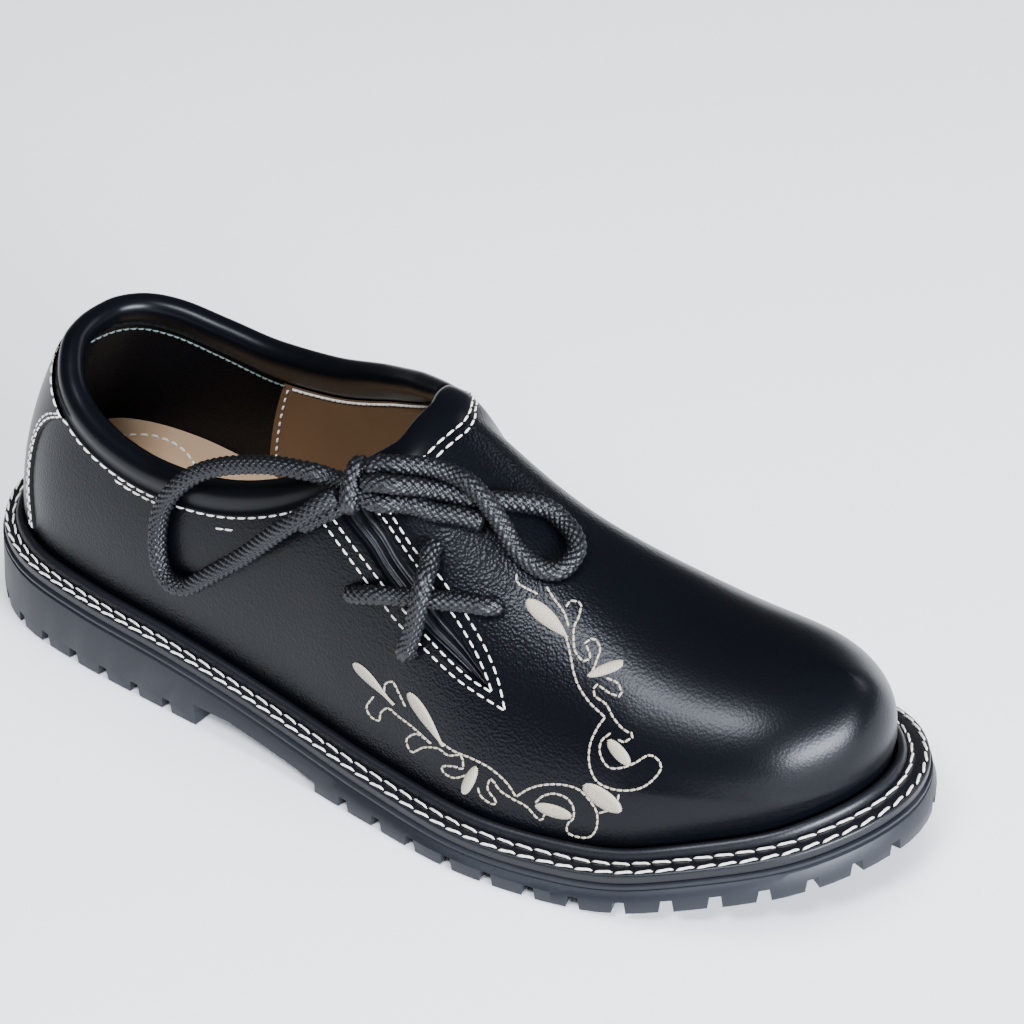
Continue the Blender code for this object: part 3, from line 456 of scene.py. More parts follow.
def stretch(thing, repeat, is_there):
    """Smooths a mesh where its points, in the shoe's sizes, pass a test."""
    bpy.context.view_layer.objects.active = thing
    bpy.ops.object.mode_set(mode="EDIT")
    bpy.ops.mesh.select_mode(type="VERT")
    bpy.ops.mesh.select_all(action="DESELECT")
    bpy.ops.object.mode_set(mode="OBJECT")
    for v in thing.data.vertices:
        v.select = is_there(*(np.array(v.co) + SHIFT))
    bpy.ops.object.mode_set(mode="EDIT")
    bpy.ops.mesh.vertices_smooth(factor=0.5, repeat=repeat)
    bpy.ops.object.mode_set(mode="OBJECT")


# The leather lies smooth over the crown of the toe and round the back of the heel.
stretch(shell, 50, lambda x, y, z: x > 0.240 and z > 0.034)
stretch(shell, 50, lambda x, y, z: x < 0.06 and abs(y) < 0.009 and z > 0.032)


def wall_normal(row, side, up):
    """Outward normal of the upper's outside."""
    low, high = max(up - 0.02, 0.001), min(up + 0.02, 0.999)
    below, above = wall(row, side, (low, high))
    ahead = wall(min(row + 0.05, LAST_ROW), side, up)[0]
    behind = wall(max(row - 0.05, 0), side, up)[0]
    normal = np.cross(ahead - behind, above - below) * -side
    length = np.linalg.norm(normal)
    return normal / length if length > 0 else np.array([0.0, 0.0, 1.0])


def surface(thing):
    """A search tree over a mesh, for finding its nearest surface point and normal."""
    mesh = thing.data
    return BVHTree.FromPolygons([v.co[:] for v in mesh.vertices], [f.vertices[:] for f in mesh.polygons])


def snap(tree, point, lift=0.0):
    """The nearest point of a surface to a point in the shoe's sizes, and the normal there."""
    spot, normal, _, _ = tree.find_nearest(Vector(np.asarray(point) - SHIFT))
    normal = np.array(normal)
    return np.array(spot) + SHIFT + normal * lift, normal


def curve_through(points, steps=12):
    """A smooth line through given points."""
    points = np.asarray(points, dtype=float)
    if len(points) == 2:
        return points[0] + (points[1] - points[0]) * np.linspace(0, 1, steps + 1)[:, None]
    gaps = np.linalg.norm(np.diff(points, axis=0), axis=1)
    marks = np.concatenate([[0], np.cumsum(np.sqrt(gaps))])
    at = np.linspace(0, marks[-1], steps * (len(points) - 1) + 1)
    return np.column_stack([smooth(marks, points[:, axis], at) for axis in range(points.shape[1])])


# The grain is deepest over the instep and shallower towards the toe.
INSTEP_X, TOE_BOX_X = 0.185, 0.22
grain_x = np.array([v.co[0] for v in shell.data.vertices]) + SHIFT[0]
grain = 0.50 + 0.50 * np.exp(-((grain_x - INSTEP_X) / 0.035) ** 2)
grain *= np.clip(1 - (grain_x - TOE_BOX_X) / 0.05, 0.45, 1)
layer = shell.data.attributes.new("grain", "FLOAT", "POINT")
layer.data.foreach_set("value", grain)

bare = surface(shell)
bpy.context.view_layer.objects.active = shell
thick = shell.modifiers.new("wall", "SOLIDIFY")
thick.thickness = UPPER_WALL
thick.offset = -1
thick.use_even_offset = False
bpy.ops.object.modifier_apply(modifier="wall")

# The padded roll round the opening: a strip of the same leather folded over foam, sewn on along the
# collar. It thins out to a folded edge in front of the slit and at the throat.
ROLL = np.array(((0.0, 1.00, 1.00), (7.0, 1.00, 1.00), (8.0, 0.95, 0.95), (8.35, 0.60, 0.88),
                 (9.0, 0.42, 0.70), (10.0, 0.42, 0.42)))
ROLL_THICKNESS = 0.0080
ROLL_HEIGHT = 0.0092
ROLL_INSET = 0.0022
# How far the strip reaches down over the wall outside, and down inside, by section row.
SKIRT = np.array(((0.0, 0.0010, 0.0010), (8.0, 0.0010, 0.0010), (8.3, 0.0055, 0.0012), (9.0, 0.0080, 0.0035),
                  (9.5, 0.0085, 0.0070), (10.0, 0.0085, 0.0085)))
FACING = np.array(((0.0, 0.0060), (3.0, 0.0055), (5.0, 0.0050), (7.0, 0.0030), (10.0, 0.0030)))

# Places of the collar are counted from the heel round the outer side, 18 to a section, to the throat
# at 180, and back on the inner side to 360. They are rounded at the throat and across the heel.
NORMAL_PASSES, EDGE_PASSES = 160, 60
collar_rows = np.linspace(0, THROAT_ROW, 181)
collar = [(row, OUTER) for row in collar_rows] + [(row, INNER) for row in collar_rows[-2:0:-1]]
collar_base = np.array([wall(row, side, 1.0)[0] for row, side in collar])
collar_out = np.array([wall_normal(min(row, 9.9), side, 1.0) for row, side in collar])
collar_at = np.array([row for row, _ in collar])[:, None]
rounding = np.maximum(np.clip((collar_at - 9.0) / 0.6, 0, 1), np.clip((0.9 - collar_at) / 0.5, 0, 1)) * 0.5
for step in range(NORMAL_PASSES):
    collar_out = collar_out * 2 + np.roll(collar_out, 1, axis=0) + np.roll(collar_out, -1, axis=0)
    collar_out /= np.linalg.norm(collar_out, axis=1, keepdims=True)
    if step < EDGE_PASSES:
        middles = (np.roll(collar_base, 1, axis=0) + np.roll(collar_base, -1, axis=0)) / 2
        collar_base = collar_base + (middles - collar_base) * rounding

# Ways down the leather from each place of the collar, 1 mm to a step.
WALK_STEP, WALK_STEPS = 0.0010, 15
walked, walked_normals = [], []
for i in range(len(collar)):
    run = collar_base[(i + 1) % len(collar)] - collar_base[i - 1]
    down = -np.cross(collar_out[i], run / np.linalg.norm(run))
    spot, way, ways = collar_base[i], [], []
    for _ in range(WALK_STEPS):
        way.append(spot)
        ahead, out = snap(bare, spot + down * WALK_STEP)
        ways.append(out)
        down = ahead - spot - out * np.dot(ahead - spot, out)
        down /= np.linalg.norm(down)
        spot = ahead
    ways[0] = collar_out[i]
    walked.append(way)
    walked_normals.append(ways)
walked, walked_normals = np.array(walked), np.array(walked_normals)
for _ in range(6):
    walked_normals = walked_normals * 2 + np.roll(walked_normals, 1, axis=0) + np.roll(walked_normals, -1, axis=0)
    walked_normals /= np.linalg.norm(walked_normals, axis=2, keepdims=True)
    walked = (walked * 2 + np.roll(walked, 1, axis=0) + np.roll(walked, -1, axis=0)) / 4


def below_collar(i, distance, lift):
    """A point at a distance down the wall from a place of the collar, lifted off its outside."""
    at = min(max(distance / WALK_STEP, 0.0), WALK_STEPS - 1.001)
    k, share = int(at), at - int(at)
    spot = walked[i][k] * (1 - share) + walked[i][k + 1] * share
    out = walked_normals[i][k] * (1 - share) + walked_normals[i][k + 1] * share
    return spot + out / np.linalg.norm(out) * lift


def strip_values(i):
    """The roll's share of its size, the strip's reach outside and inside, its flatness and its lift."""
    row, side = collar[i]
    column = 1 if side == OUTER else 2
    share = float(np.interp(row, ROLL[:, 0], ROLL[:, column]))
    skirt = float(np.interp(row, SKIRT[:, 0], SKIRT[:, column]))
    flat = min(1.0, (skirt - 0.0010) / 0.004)
    return share, skirt, float(np.interp(row, FACING[:, 0], FACING[:, 1])), flat, 0.0002 + 0.0008 * flat


roll_rings = []
for i in range(len(collar)):
    share, skirt, facing, flat, lift = strip_values(i)
    run = collar_base[(i + 1) % len(collar)] - collar_base[i - 1]
    up = np.cross(collar_out[i], run / np.linalg.norm(run))
    ring = [below_collar(i, skirt, -0.0004), below_collar(i, skirt, lift * 0.55)]
    ring += [below_collar(i, skirt * down, lift) for down in (0.95, 0.7, 0.45, 0.2)]
    outermost_edge = share * (ROLL_THICKNESS / 2 - ROLL_INSET) - UPPER_WALL / 2
    for turn in np.linspace(-0.28 * (1 - flat), 1.0, 20):
        angle = math.pi * turn
        across = -UPPER_WALL / 2 + share * (math.cos(angle) * ROLL_THICKNESS / 2 - ROLL_INSET)
        across += flat * (lift - outermost_edge) * max(0.0, math.cos(angle))
        ring.append(collar_base[i] + collar_out[i] * across + up * share * ROLL_HEIGHT * (1 + math.sin(angle)) / 2)
    inside, low = ring[-1], below_collar(i, facing, -UPPER_WALL - 0.0009)
    for down in (0.15, 0.35, 0.55, 0.75, 0.9):
        weight = down * down * (3 - 2 * down)
        level = inside * (1 - down) + low * down
        ring.append(level + (inside - low - up * np.dot(inside - low, up)) * (down - weight))
    ring += [low, below_collar(i, facing, -UPPER_WALL + 0.0004)]
    ring.append(ring[0])
    roll_rings.append(ring)
roll_rings.append(roll_rings[0])
roll = lay_sheet("collar_roll", roll_rings)

# The slit: middle line by row and way up, and its width over the full width.
SLIT = np.array(((0.00, 8.05, 1.00, 1.20), (0.20, 8.20, 0.81, 1.08), (0.40, 8.56, 0.64, 1.00), (0.60, 9.08, 0.48, 0.95),
                 (0.75, 9.83, 0.39, 0.88), (0.88, 10.30, 0.37, 0.64), (1.00, 10.60, 0.34, 0.12)))
SLIT_WIDTH = 0.0085
TOOL_OUT, TOOL_IN = 0.008, 0.0125
slit_marks = np.linspace(0, 1, 25)
slit_points = [wall(float(smooth(SLIT[:, 0], SLIT[:, 1], m)), OUTER, float(smooth(SLIT[:, 0], SLIT[:, 2], m)))[0]
               for m in slit_marks]
slit_widths = [max(0.0009, float(smooth(SLIT[:, 0], SLIT[:, 3], m)) * SLIT_WIDTH) for m in slit_marks]
slit_run = slit_points[-1] - slit_points[0]
slit_run /= np.linalg.norm(slit_run)
slit_out = sum(wall_normal(row, OUTER, up) for _, row, up, _ in SLIT)
slit_across = np.cross(slit_out, slit_run)
slit_across /= np.linalg.norm(slit_across)
slit_out = np.cross(slit_run, slit_across)


def slit_tool():
    """A body through the wall in the shape of the slit, which the Booleans take away."""
    points = [slit_points[0] - slit_run * ROLL_HEIGHT * 2] + slit_points
    widths = [slit_widths[0]] + slit_widths
    sections = []
    for point, width in zip(points, widths):
        left, right = point - slit_across * width / 2, point + slit_across * width / 2
        outside, inside = slit_out * TOOL_OUT, slit_out * TOOL_IN
        sections.append([left + outside, right + outside, right - inside, left - inside, left + outside])
    tool = lay_sheet("slit_tool", sections)
    bpy.ops.object.mode_set(mode="EDIT")
    close_ends()
    return tool


tool = slit_tool()
for thing in (shell, roll):
    bpy.ops.object.select_all(action="DESELECT")
    bpy.context.view_layer.objects.active = thing
    cut = thing.modifiers.new("slit", "BOOLEAN")
    cut.operation = "DIFFERENCE"
    cut.object = tool
    bpy.ops.object.modifier_apply(modifier="slit")
bpy.data.objects.remove(tool)
# The folded strip is eased all along, so that its cut ends lie softly beside the slit.
stretch(roll, 6, lambda x, y, z: True)

# Corrected calf leather, polished: nearly black with a blue cast, a pebble grain about 0.8 mm
# across that is deep on the instep and almost pressed flat on the toe.
calf = finish_named("polished black calf leather", "040508", 0.31, 1.5, Specular_IOR_Level=0.16)
place = add(calf, "ShaderNodeTexCoord")
strength = add(calf, "ShaderNodeAttribute", {"attribute_name": "grain"})
wander = add(calf, "ShaderNodeTexNoise", {"Scale": 900.0, "Detail": 3.0}, {"Vector": place.outputs["Object"]})
pebbles = add(calf, "ShaderNodeTexVoronoi", {"Scale": 1250.0, "feature": "SMOOTH_F1", "Smoothness": 0.6},
              {"Vector": place.outputs["Object"]})
mixed = add(calf, "ShaderNodeMath", {"operation": "MULTIPLY_ADD", 1: 0.14},
            {0: wander.outputs["Fac"], 2: pebbles.outputs["Distance"]})
depth = add(calf, "ShaderNodeMath", {"operation": "MULTIPLY"}, {0: mixed.outputs[0], 1: strength.outputs["Fac"]})
pebbled = add(calf, "ShaderNodeBump", {"Strength": 0.5, "Distance": 0.00026}, {"Height": depth.outputs[0]})
calf.node_tree.links.new(pebbled.outputs["Normal"], shader_of(calf).inputs["Normal"])
settle(shell, calf, 40)
settle(roll, calf, 40)
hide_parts("upper")
skin = surface(shell)
roll_skin = surface(roll)


# ---- Insole and lining ----
# A tan leather insole that covers the footbed, cupped a little at its edge and stitched round the
# heel pad, and a tan lining under the front of the upper, with a sewn edge. The lining's tan is darker: painted shade.

# Height of the footbed's edge over the welt, by place along the shoe; its middle is dished below it.
FOOTBED = np.array(((0.000, 0.0170), (0.050, 0.0168), (0.100, 0.0130), (0.150, 0.0090), (0.200, 0.0060),
                    (0.250, 0.0045), (0.305, 0.0040)))
footbed_edges = []
for row in np.linspace(0, LAST_ROW, 100):
    pair = []
    for side in (OUTER, INNER):
        points = wall(row, side, np.linspace(0, 0.9, 60))
        level = np.array([welt_height(x) + np.interp(x, FOOTBED[:, 0], FOOTBED[:, 1]) for x in points[:, 0]])
        met = int(np.argmax(points[:, 2] > level))
        pair.append(np.array([*points[met, :2], level[met]]))
    across = pair[1] - pair[0]
    width = np.linalg.norm(across[:2])
    if width > 0.008:
        inset = across * (UPPER_WALL + 0.0002) / width
        footbed_edges.append((pair[0] + inset, pair[1] - inset))
footbed_edges = np.array(footbed_edges)


def insole_point(place, across, lift=0.0):
    """A point on the insole: from 0 at the heel to 1 at the toe, and from -1 on the outer side to 1."""
    at = place * (len(footbed_edges) - 1)
    k = min(int(at), len(footbed_edges) - 2)
    one, other = footbed_edges[k] * (k + 1 - at) + footbed_edges[k + 1] * (at - k)
    spot = one + (other - one) * (across + 1) / 2
    ends = 1 - min(1.0, place / 0.10) ** 0.7 * min(1.0, (1 - place) / 0.05)
    dish = (1 - max(abs(across) ** 3, ends)) * 0.34 * np.interp(spot[0], FOOTBED[:, 0], FOOTBED[:, 1])
    return spot + np.array([0.0, 0.0, lift - dish])


insole = lay_sheet("insole_cover", [[insole_point(a, b) for b in np.linspace(-1, 1, 31)]
                                    for a in np.linspace(0.0, 1.0, 120)])
if sum(face.normal.z for face in insole.data.polygons) < 0:
    insole.data.flip_normals()

# Vegetable-tanned lining leather, glazed flat: warm tan with cloudy patches where the glaze pooled.
tan = finish_named("vegetable-tanned lining leather", "A07F5C", 0.45, 1.5, Specular_IOR_Level=0.3)
place = roughen(tan, 1300.0, 2.0, 0.15, 0.0002)
clouds = add(tan, "ShaderNodeTexNoise", {"Scale": 35.0, "Detail": 4.0}, {"Vector": place.outputs["Object"]})
tint = add(tan, "ShaderNodeMix", {"data_type": "RGBA", 6: linear("96785A"), 7: linear("BA9C7C")},
           {0: clouds.outputs["Fac"]})
tan.node_tree.links.new(tint.outputs[2], shader_of(tan).inputs["Base Color"])
settle(insole, tan)
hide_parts("insole")

LINING_ROWS = (5.15, 13.2)
LINING_GAP = UPPER_WALL + 0.0005
# Behind the slit the lining gives way to the gusset.
GUSSET_ROOM, GUSSET_REACH = 0.0046, 0.013
slit_spots = np.array(slit_points)
lining_columns = []
for side in (OUTER, INNER):
    rows = np.linspace(*LINING_ROWS, 110)
    columns = []
    for row in rows:
        top = 0.0 if row >= THROAT_ROW else float(np.interp(row, FACING[:, 0], FACING[:, 1]))
        high, lower = wall(row, side, (1.0, 0.9))
        columns.append(wall(row, side, np.linspace(0.02, 1 - 0.1 * top / np.linalg.norm(high - lower), 26)))
    columns = np.array(columns)
    outs = np.cross(np.gradient(columns, axis=0), np.gradient(columns, axis=1)) * -side
    outs /= np.maximum(np.linalg.norm(outs, axis=2, keepdims=True), 1e-9)
    gaps = np.linalg.norm(columns[:, :, None] - slit_spots, axis=3).min(axis=2)
    depth = LINING_GAP + GUSSET_ROOM * np.exp(-(gaps / GUSSET_REACH) ** 4)
    columns = columns - outs * depth[:, :, None]
    lining_columns += list(columns if side == OUTER else columns[-2::-1])
lining = lay_sheet("vamp_lining", lining_columns)
turn_outwards(lining, (0.20, 0.0, 0.04))
lining.data.flip_normals()  # its good side faces the foot
# The lining is a copy of the insole's tan with darker colours: painted shade for the inside of the wall.
shaded_lining_leather = tan.copy()
shaded_lining_leather.name = "tan lining leather with painted shade"
for node in shaded_lining_leather.node_tree.nodes:
    if node.type == "MIX":
        node.inputs[6].default_value = linear("503C29")
        node.inputs[7].default_value = linear("664C34")
settle(lining, shaded_lining_leather)


# ---- Heel counter ----
# A second piece of the same leather sewn over the back of the heel, with a skived edge. Its front
# edge runs from the welt up to the collar on both sides, under two rows of stitches.

# Its front edge, by way up the wall and by section row, and the step that it makes on the leather.
COUNTER_EDGE = np.array(((0.00, 2.95), (0.11, 2.89), (0.29, 2.68), (0.54, 2.42), (0.70, 2.33), (0.85, 2.45),
                         (1.00, 2.76)))
COUNTER_STEP = 0.0009
SKIVED_UNDER = 0.0002
counter_ups = np.linspace(0.0, 0.985, 40)
counter_shares = np.concatenate([[1.0, 0.993, 0.985, 0.975], np.linspace(0.95, 0.0, 22)])
counter_columns = []
for side in (OUTER, INNER):
    shares = counter_shares if side == OUTER else counter_shares[-2::-1]
    for share in shares:
        column = []
        for up in counter_ups:
            row = share * float(smooth(COUNTER_EDGE[:, 0], COUNTER_EDGE[:, 1], up))
            point, out = wall(row, side, up)[0], wall_normal(row, side, up)
            ends = min(1.0, (1 - share) / 0.02) * min(1.0, up / 0.03)
            column.append(point + out * (COUNTER_STEP * math.sqrt(ends) - SKIVED_UNDER * (1 - ends)))
        counter_columns.append(column)
counter = lay_sheet("heel_counter", counter_columns)
turn_outwards(counter, (0.06, 0.0, 0.04))
settle(counter, calf)
counter_skin = surface(counter)


# ---- Seams ----
# Rows of the same cream thread, three millimetres to the stitch: along the collar, in two rows
# round the throat, down both sides of the slit to a point, and on the counter.

def outermost(point, lift=0.0):
    """The outermost leather near a point: the counter or the roll where they lie over the shell."""
    spot, normal = snap(skin, point, lift)
    for tree in (roll_skin, counter_skin):
        over, over_normal = snap(tree, spot + normal * 0.0010, lift)
        if np.linalg.norm(over - spot) < 0.0016 and np.dot(over - spot, normal) > 0:
            spot, normal = over, over_normal
    return spot, normal


def seam_line(places, steps=14):
    """A smooth line on the leather through places given by section row and way up."""
    line = curve_through([wall_point(row, up) for row, up in places], steps)
    return np.array([outermost(point)[0] for point in line])


def seam(name, lines, pitch=0.0032, length=0.0026, thickness=0.00058):
    """Stitches on the leather along lines of places."""
    stitches = []
    for places in lines:
        for middle, run in even_marks(seam_line(places), pitch):
            spot, out = outermost(middle, 0.00012)
            stitches.append((spot, run, out))
    return sew(name, stitches, thread_model(length, thickness), thread)


def mirrored(places):
    """The same places on the inner side."""
    return [(row, 2 - up) for row, up in places]


REAR_OUT = [(7.55, 0.92), (7.80, 0.76), (8.53, 0.47), (9.06, 0.36), (9.60, 0.32), (10.31, 0.305), (10.78, 0.31)]
REAR_IN = [(7.72, 0.91), (7.90, 0.79), (8.66, 0.49), (9.25, 0.385), (9.80, 0.345), (10.40, 0.33), (10.65, 0.335)]
FRONT_OUT = [(8.62, 0.80), (9.00, 0.64), (9.54, 0.53), (10.02, 0.50), (10.34, 0.47), (10.56, 0.43), (10.69, 0.38),
             (10.78, 0.31)]
FRONT_IN = [(8.52, 0.76), (8.72, 0.69), (9.45, 0.51), (9.96, 0.46), (10.23, 0.44), (10.46, 0.405), (10.60, 0.36),
            (10.65, 0.335)]
seam("slit_seams", [REAR_OUT, REAR_IN, FRONT_OUT, FRONT_IN])
counter_front = [(row, up) for up, row in COUNTER_EDGE]
COUNTER_ROWS = []
for inset in (0.06, 0.17):
    line = [(row - inset, max(up, 0.03)) for row, up in counter_front[:-1]] + [(2.70 - inset, 0.965)]
    COUNTER_ROWS += [line, mirrored(line)]
seam("counter_seams", COUNTER_ROWS, 0.0029, 0.0024)


def collar_line(first, last, distance, lift):
    """A line beside the collar from one place to another, its points and normals. The distance down comes from
    the strip's reach outside and inside, and the height from its lift."""
    line = []
    for i in range(first, last + 1):
        _, skirt, facing, _, strip_lift = strip_values(i % len(collar))
        down = distance(skirt, facing)
        height = lift(strip_lift) + (COUNTER_STEP if collar[i % len(collar)][0] < 2.76 and down < 0.004 else 0.0)
        spot = below_collar(i % len(collar), down, height)
        away = below_collar(i % len(collar), down, height + 0.001) - spot
        line.append((spot, away / 0.001 * (1 if height > 0 else -1)))
    # Across the heel the seam runs level.
    heights = np.array([spot[2] for spot, _ in line])
    ease = 0.5 * np.clip((2.2 - np.array([collar[i % len(collar)][0] for i in range(first, last + 1)])) / 0.6, 0, 1)
    for _ in range(150):
        heights[1:-1] += ((heights[:-2] + heights[2:]) / 2 - heights[1:-1]) * ease[1:-1]
    return [(np.array([spot[0], spot[1], height]), out) for (spot, out), height in zip(line, heights)]


def laid_seam(name, lines, pitch, length, thickness, material):
    """Stitches along lines of points and normals."""
    stitches = []
    for line in lines:
        spots = np.array([point for point, _ in line])
        for middle, run in even_marks(spots, pitch):
            near = int(np.argmin(np.linalg.norm(spots - middle, axis=1)))
            stitches.append((middle, run, line[near][1]))
    return sew(name, stitches, thread_model(length, thickness), material)


laid_seam("collar_seams", [collar_line(153, 497, lambda skirt, facing: max(skirt - 0.0013, 0.0011),
                                       lambda lift: lift + 0.0001),
                           collar_line(151, 213, lambda skirt, facing: skirt + 0.0010, lambda lift: 0.0002),
                           *(collar_line(first, last, lambda skirt, facing: below, lambda lift: 0.0003)
                             for first, last, below in ((76, 92, 0.0026), (108, 113, 0.0046)))],
          0.0038, 0.0031, 0.0006, thread)


# White thread shows inside too: along the lining's top edge, down its rear edge, and round the heel
# pad of the insole; a grey-green thread holds the collar's facing at the heel.
THREAD_GAP = 0.0010


def inside_line(row, side, low, high):
    """A line up the inside of the wall on one section: points and normals."""
    return [(wall(row, side, up)[0] - wall_normal(row, side, up) * (UPPER_WALL + 0.0008), -wall_normal(row, side, up))
            for up in np.linspace(low, high, 30)]


grey_thread = finish_named("grey-green lining thread", "5C6B66", 0.6)
laid_seam("lining_seams",
          [collar_line(first, last, lambda skirt, facing: facing + 0.0006, lambda lift: -UPPER_WALL - THREAD_GAP)
           for first, last in ((191, 266), (94, 134))],
          0.0021, 0.0025, 0.0008, thread)
laid_seam("lining_rear_seams", [inside_line(5.24, side, 0.1, 0.86) for side in (INNER, OUTER)],
          0.0030, 0.0018, 0.0007, thread)
laid_seam("heel_lining_seam", [collar_line(268, 450, lambda skirt, facing: facing + 0.0002,
                                           lambda lift: -UPPER_WALL - THREAD_GAP - 0.0002)],
          0.0022, 0.0022, 0.0006, grey_thread)
# The heel pad is an oval: its middle and half its length and width.
PAD_MIDDLE, PAD_HALF = (0.040, -0.001), (0.023, 0.0225)
pad = []
for turn in np.linspace(0, 2 * math.pi, 90):
    x, y = PAD_MIDDLE[0] + PAD_HALF[0] * math.cos(turn), PAD_MIDDLE[1] + PAD_HALF[1] * math.sin(turn)
    best = min(((abs(insole_point(a, 0)[0] - x), a) for a in np.linspace(0.02, 0.6, 60)))[1]
    one, other = insole_point(best, -1), insole_point(best, 1)
    spot = insole_point(best, float(np.clip((y - one[1]) / (other[1] - one[1]) * 2 - 1, -0.98, 0.98)), 0.0002)
    pad.append((np.array([x, y, spot[2]]), UP))
laid_seam("insole_stitches", [pad], 0.0036, 0.0028, 0.0008, thread)


# ---- Gusset ----
# A pleated piece of soft black leather behind the slit, sewn in under both edges, so that the slit
# can open. Its pleats run down the slit.

# Pleats by place across the opening, height towards the slit, and width; places from -1 to 1.
PLEATS = ((-0.70, 0.0009, 0.10), (-0.44, 0.0007, 0.08), (-0.12, -0.0014, 0.14), (0.34, 0.0016, 0.26),
          (0.85, 0.0006, 0.1))
gusset_rings = []
for mark in np.linspace(-0.04, 1.0, 60):
    inside = min(max(mark, 0.0), 1.0)
    point = np.array([np.interp(inside, slit_marks, np.array(slit_points)[:, axis]) for axis in range(3)])
    point = point + slit_run * (mark - inside) * 0.06
    width = max(0.004, float(np.interp(inside, slit_marks, slit_widths)))
    ring = []
    for place in np.linspace(-1.7, 1.7, 60):
        pleat = sum(height * math.exp(-((place - where) / spread) ** 2) for where, height, spread in PLEATS)
        spot = point + slit_across * place * width / 2
        on_wall, normal = snap(skin, spot)
        ring.append(on_wall - normal * (UPPER_WALL + 0.0004) - slit_out * 0.0004 + slit_out * pleat
                    if abs(place) > 1.15 else spot - slit_out * (UPPER_WALL + 0.0010 - pleat))
    gusset_rings.append(ring)
gusset = lay_sheet("slit_gusset", gusset_rings)
turn_outwards(gusset, (0.17, 0.0, 0.03))
# Soft sheep leather: black, a little duller, with creases about 2.4 mm apart.
soft_leather = finish_named("soft black gusset leather", "0B0C10", 0.42, 1.5)
roughen(soft_leather, 420.0, 4.0, 0.4, 0.0004)
settle(gusset, soft_leather)
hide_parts("gusset")


# ---- Embroidery ----
# A traditional scroll of cream rayon: leaves in satin stitch, each thread laid across the leaf,
# and stems, loops and scrolls in running stitch. Two branches spring from an oval on the vamp.

# Rayon thread: cream and shinier than the seam thread, so that the leaves glow across their stitches.
rayon = finish_named("cream rayon embroidery thread", "9C927F", 0.4, 1.5, Sheen_Weight=0.2)


THREAD_RADIUS = 0.00030
THREAD_PITCH = 0.00042
THREAD_SLANT = 0.35


def satin_leaf(tip, tail, width, fullest):
    """Threads laid side by side across a leaf from its tip to its tail: verts and faces."""
    line = seam_line([tip, tail], 16)
    lengths = np.linalg.norm(line[-1] - line[0])
    count = max(4, int(lengths / THREAD_PITCH))
    verts, faces = [], []
    for k in range(count):
        share = (k + 0.5) / count
        at = share * (len(line) - 1)
        middle = line[int(at)] + (line[min(int(at) + 1, len(line) - 1)] - line[int(at)]) * (at - int(at))
        middle, out = outermost(middle)
        run = (line[-1] - line[0]) / lengths
        across = np.cross(out, run)
        across = across + run * THREAD_SLANT
        across /= np.linalg.norm(across)
        swelling = (share / fullest) ** 0.5 * ((1 - share) / (1 - fullest)) ** (0.5 * (1 - fullest) / fullest)
        half = max(0.0004, width / 2 * swelling)
        start = len(verts)
        for i in range(5):
            u = i / 2 - 1
            spot = outermost(middle + across * half * u)[0] + out * (0.00012 + 0.00035 * (1 - u * u) ** 0.5)
            for j in range(5):
                turn = 2 * math.pi * j / 5
                verts.append(spot + (run * math.cos(turn) + out * math.sin(turn)) * THREAD_RADIUS)
        for i in range(4):
            for j in range(5):
                here, after = start + i * 5, (j + 1) % 5
                faces.append((here + j, here + 5 + j, here + 5 + after, here + after))
        faces += [tuple(start + j for j in (4, 0, 1, 2, 3)), tuple(start + 20 + j for j in (0, 4, 3, 2, 1))]
    return verts, faces


# Leaves by the places of tip and tail, their width, and where along them they are fullest.
LEAVES = [((8.20, 0.245), (8.98, 0.155), 0.0036, 0.25), ((9.40, 0.196), (10.14, 0.125), 0.0042, 0.3),
          ((10.53, 0.125), (10.38, 0.035), 0.0034, 0.55), ((11.10, 0.085), (11.42, 0.08), 0.0040, 0.5),
          ((11.535, 0.206), (11.865, 0.142), 0.0058, 0.5), ((10.91, 0.635), (11.29, 0.605), 0.0047, 0.35),
          ((11.50, 0.535), (11.80, 0.632), 0.0031, 0.6), ((11.735, 0.378), (11.925, 0.318), 0.0038, 0.5)]
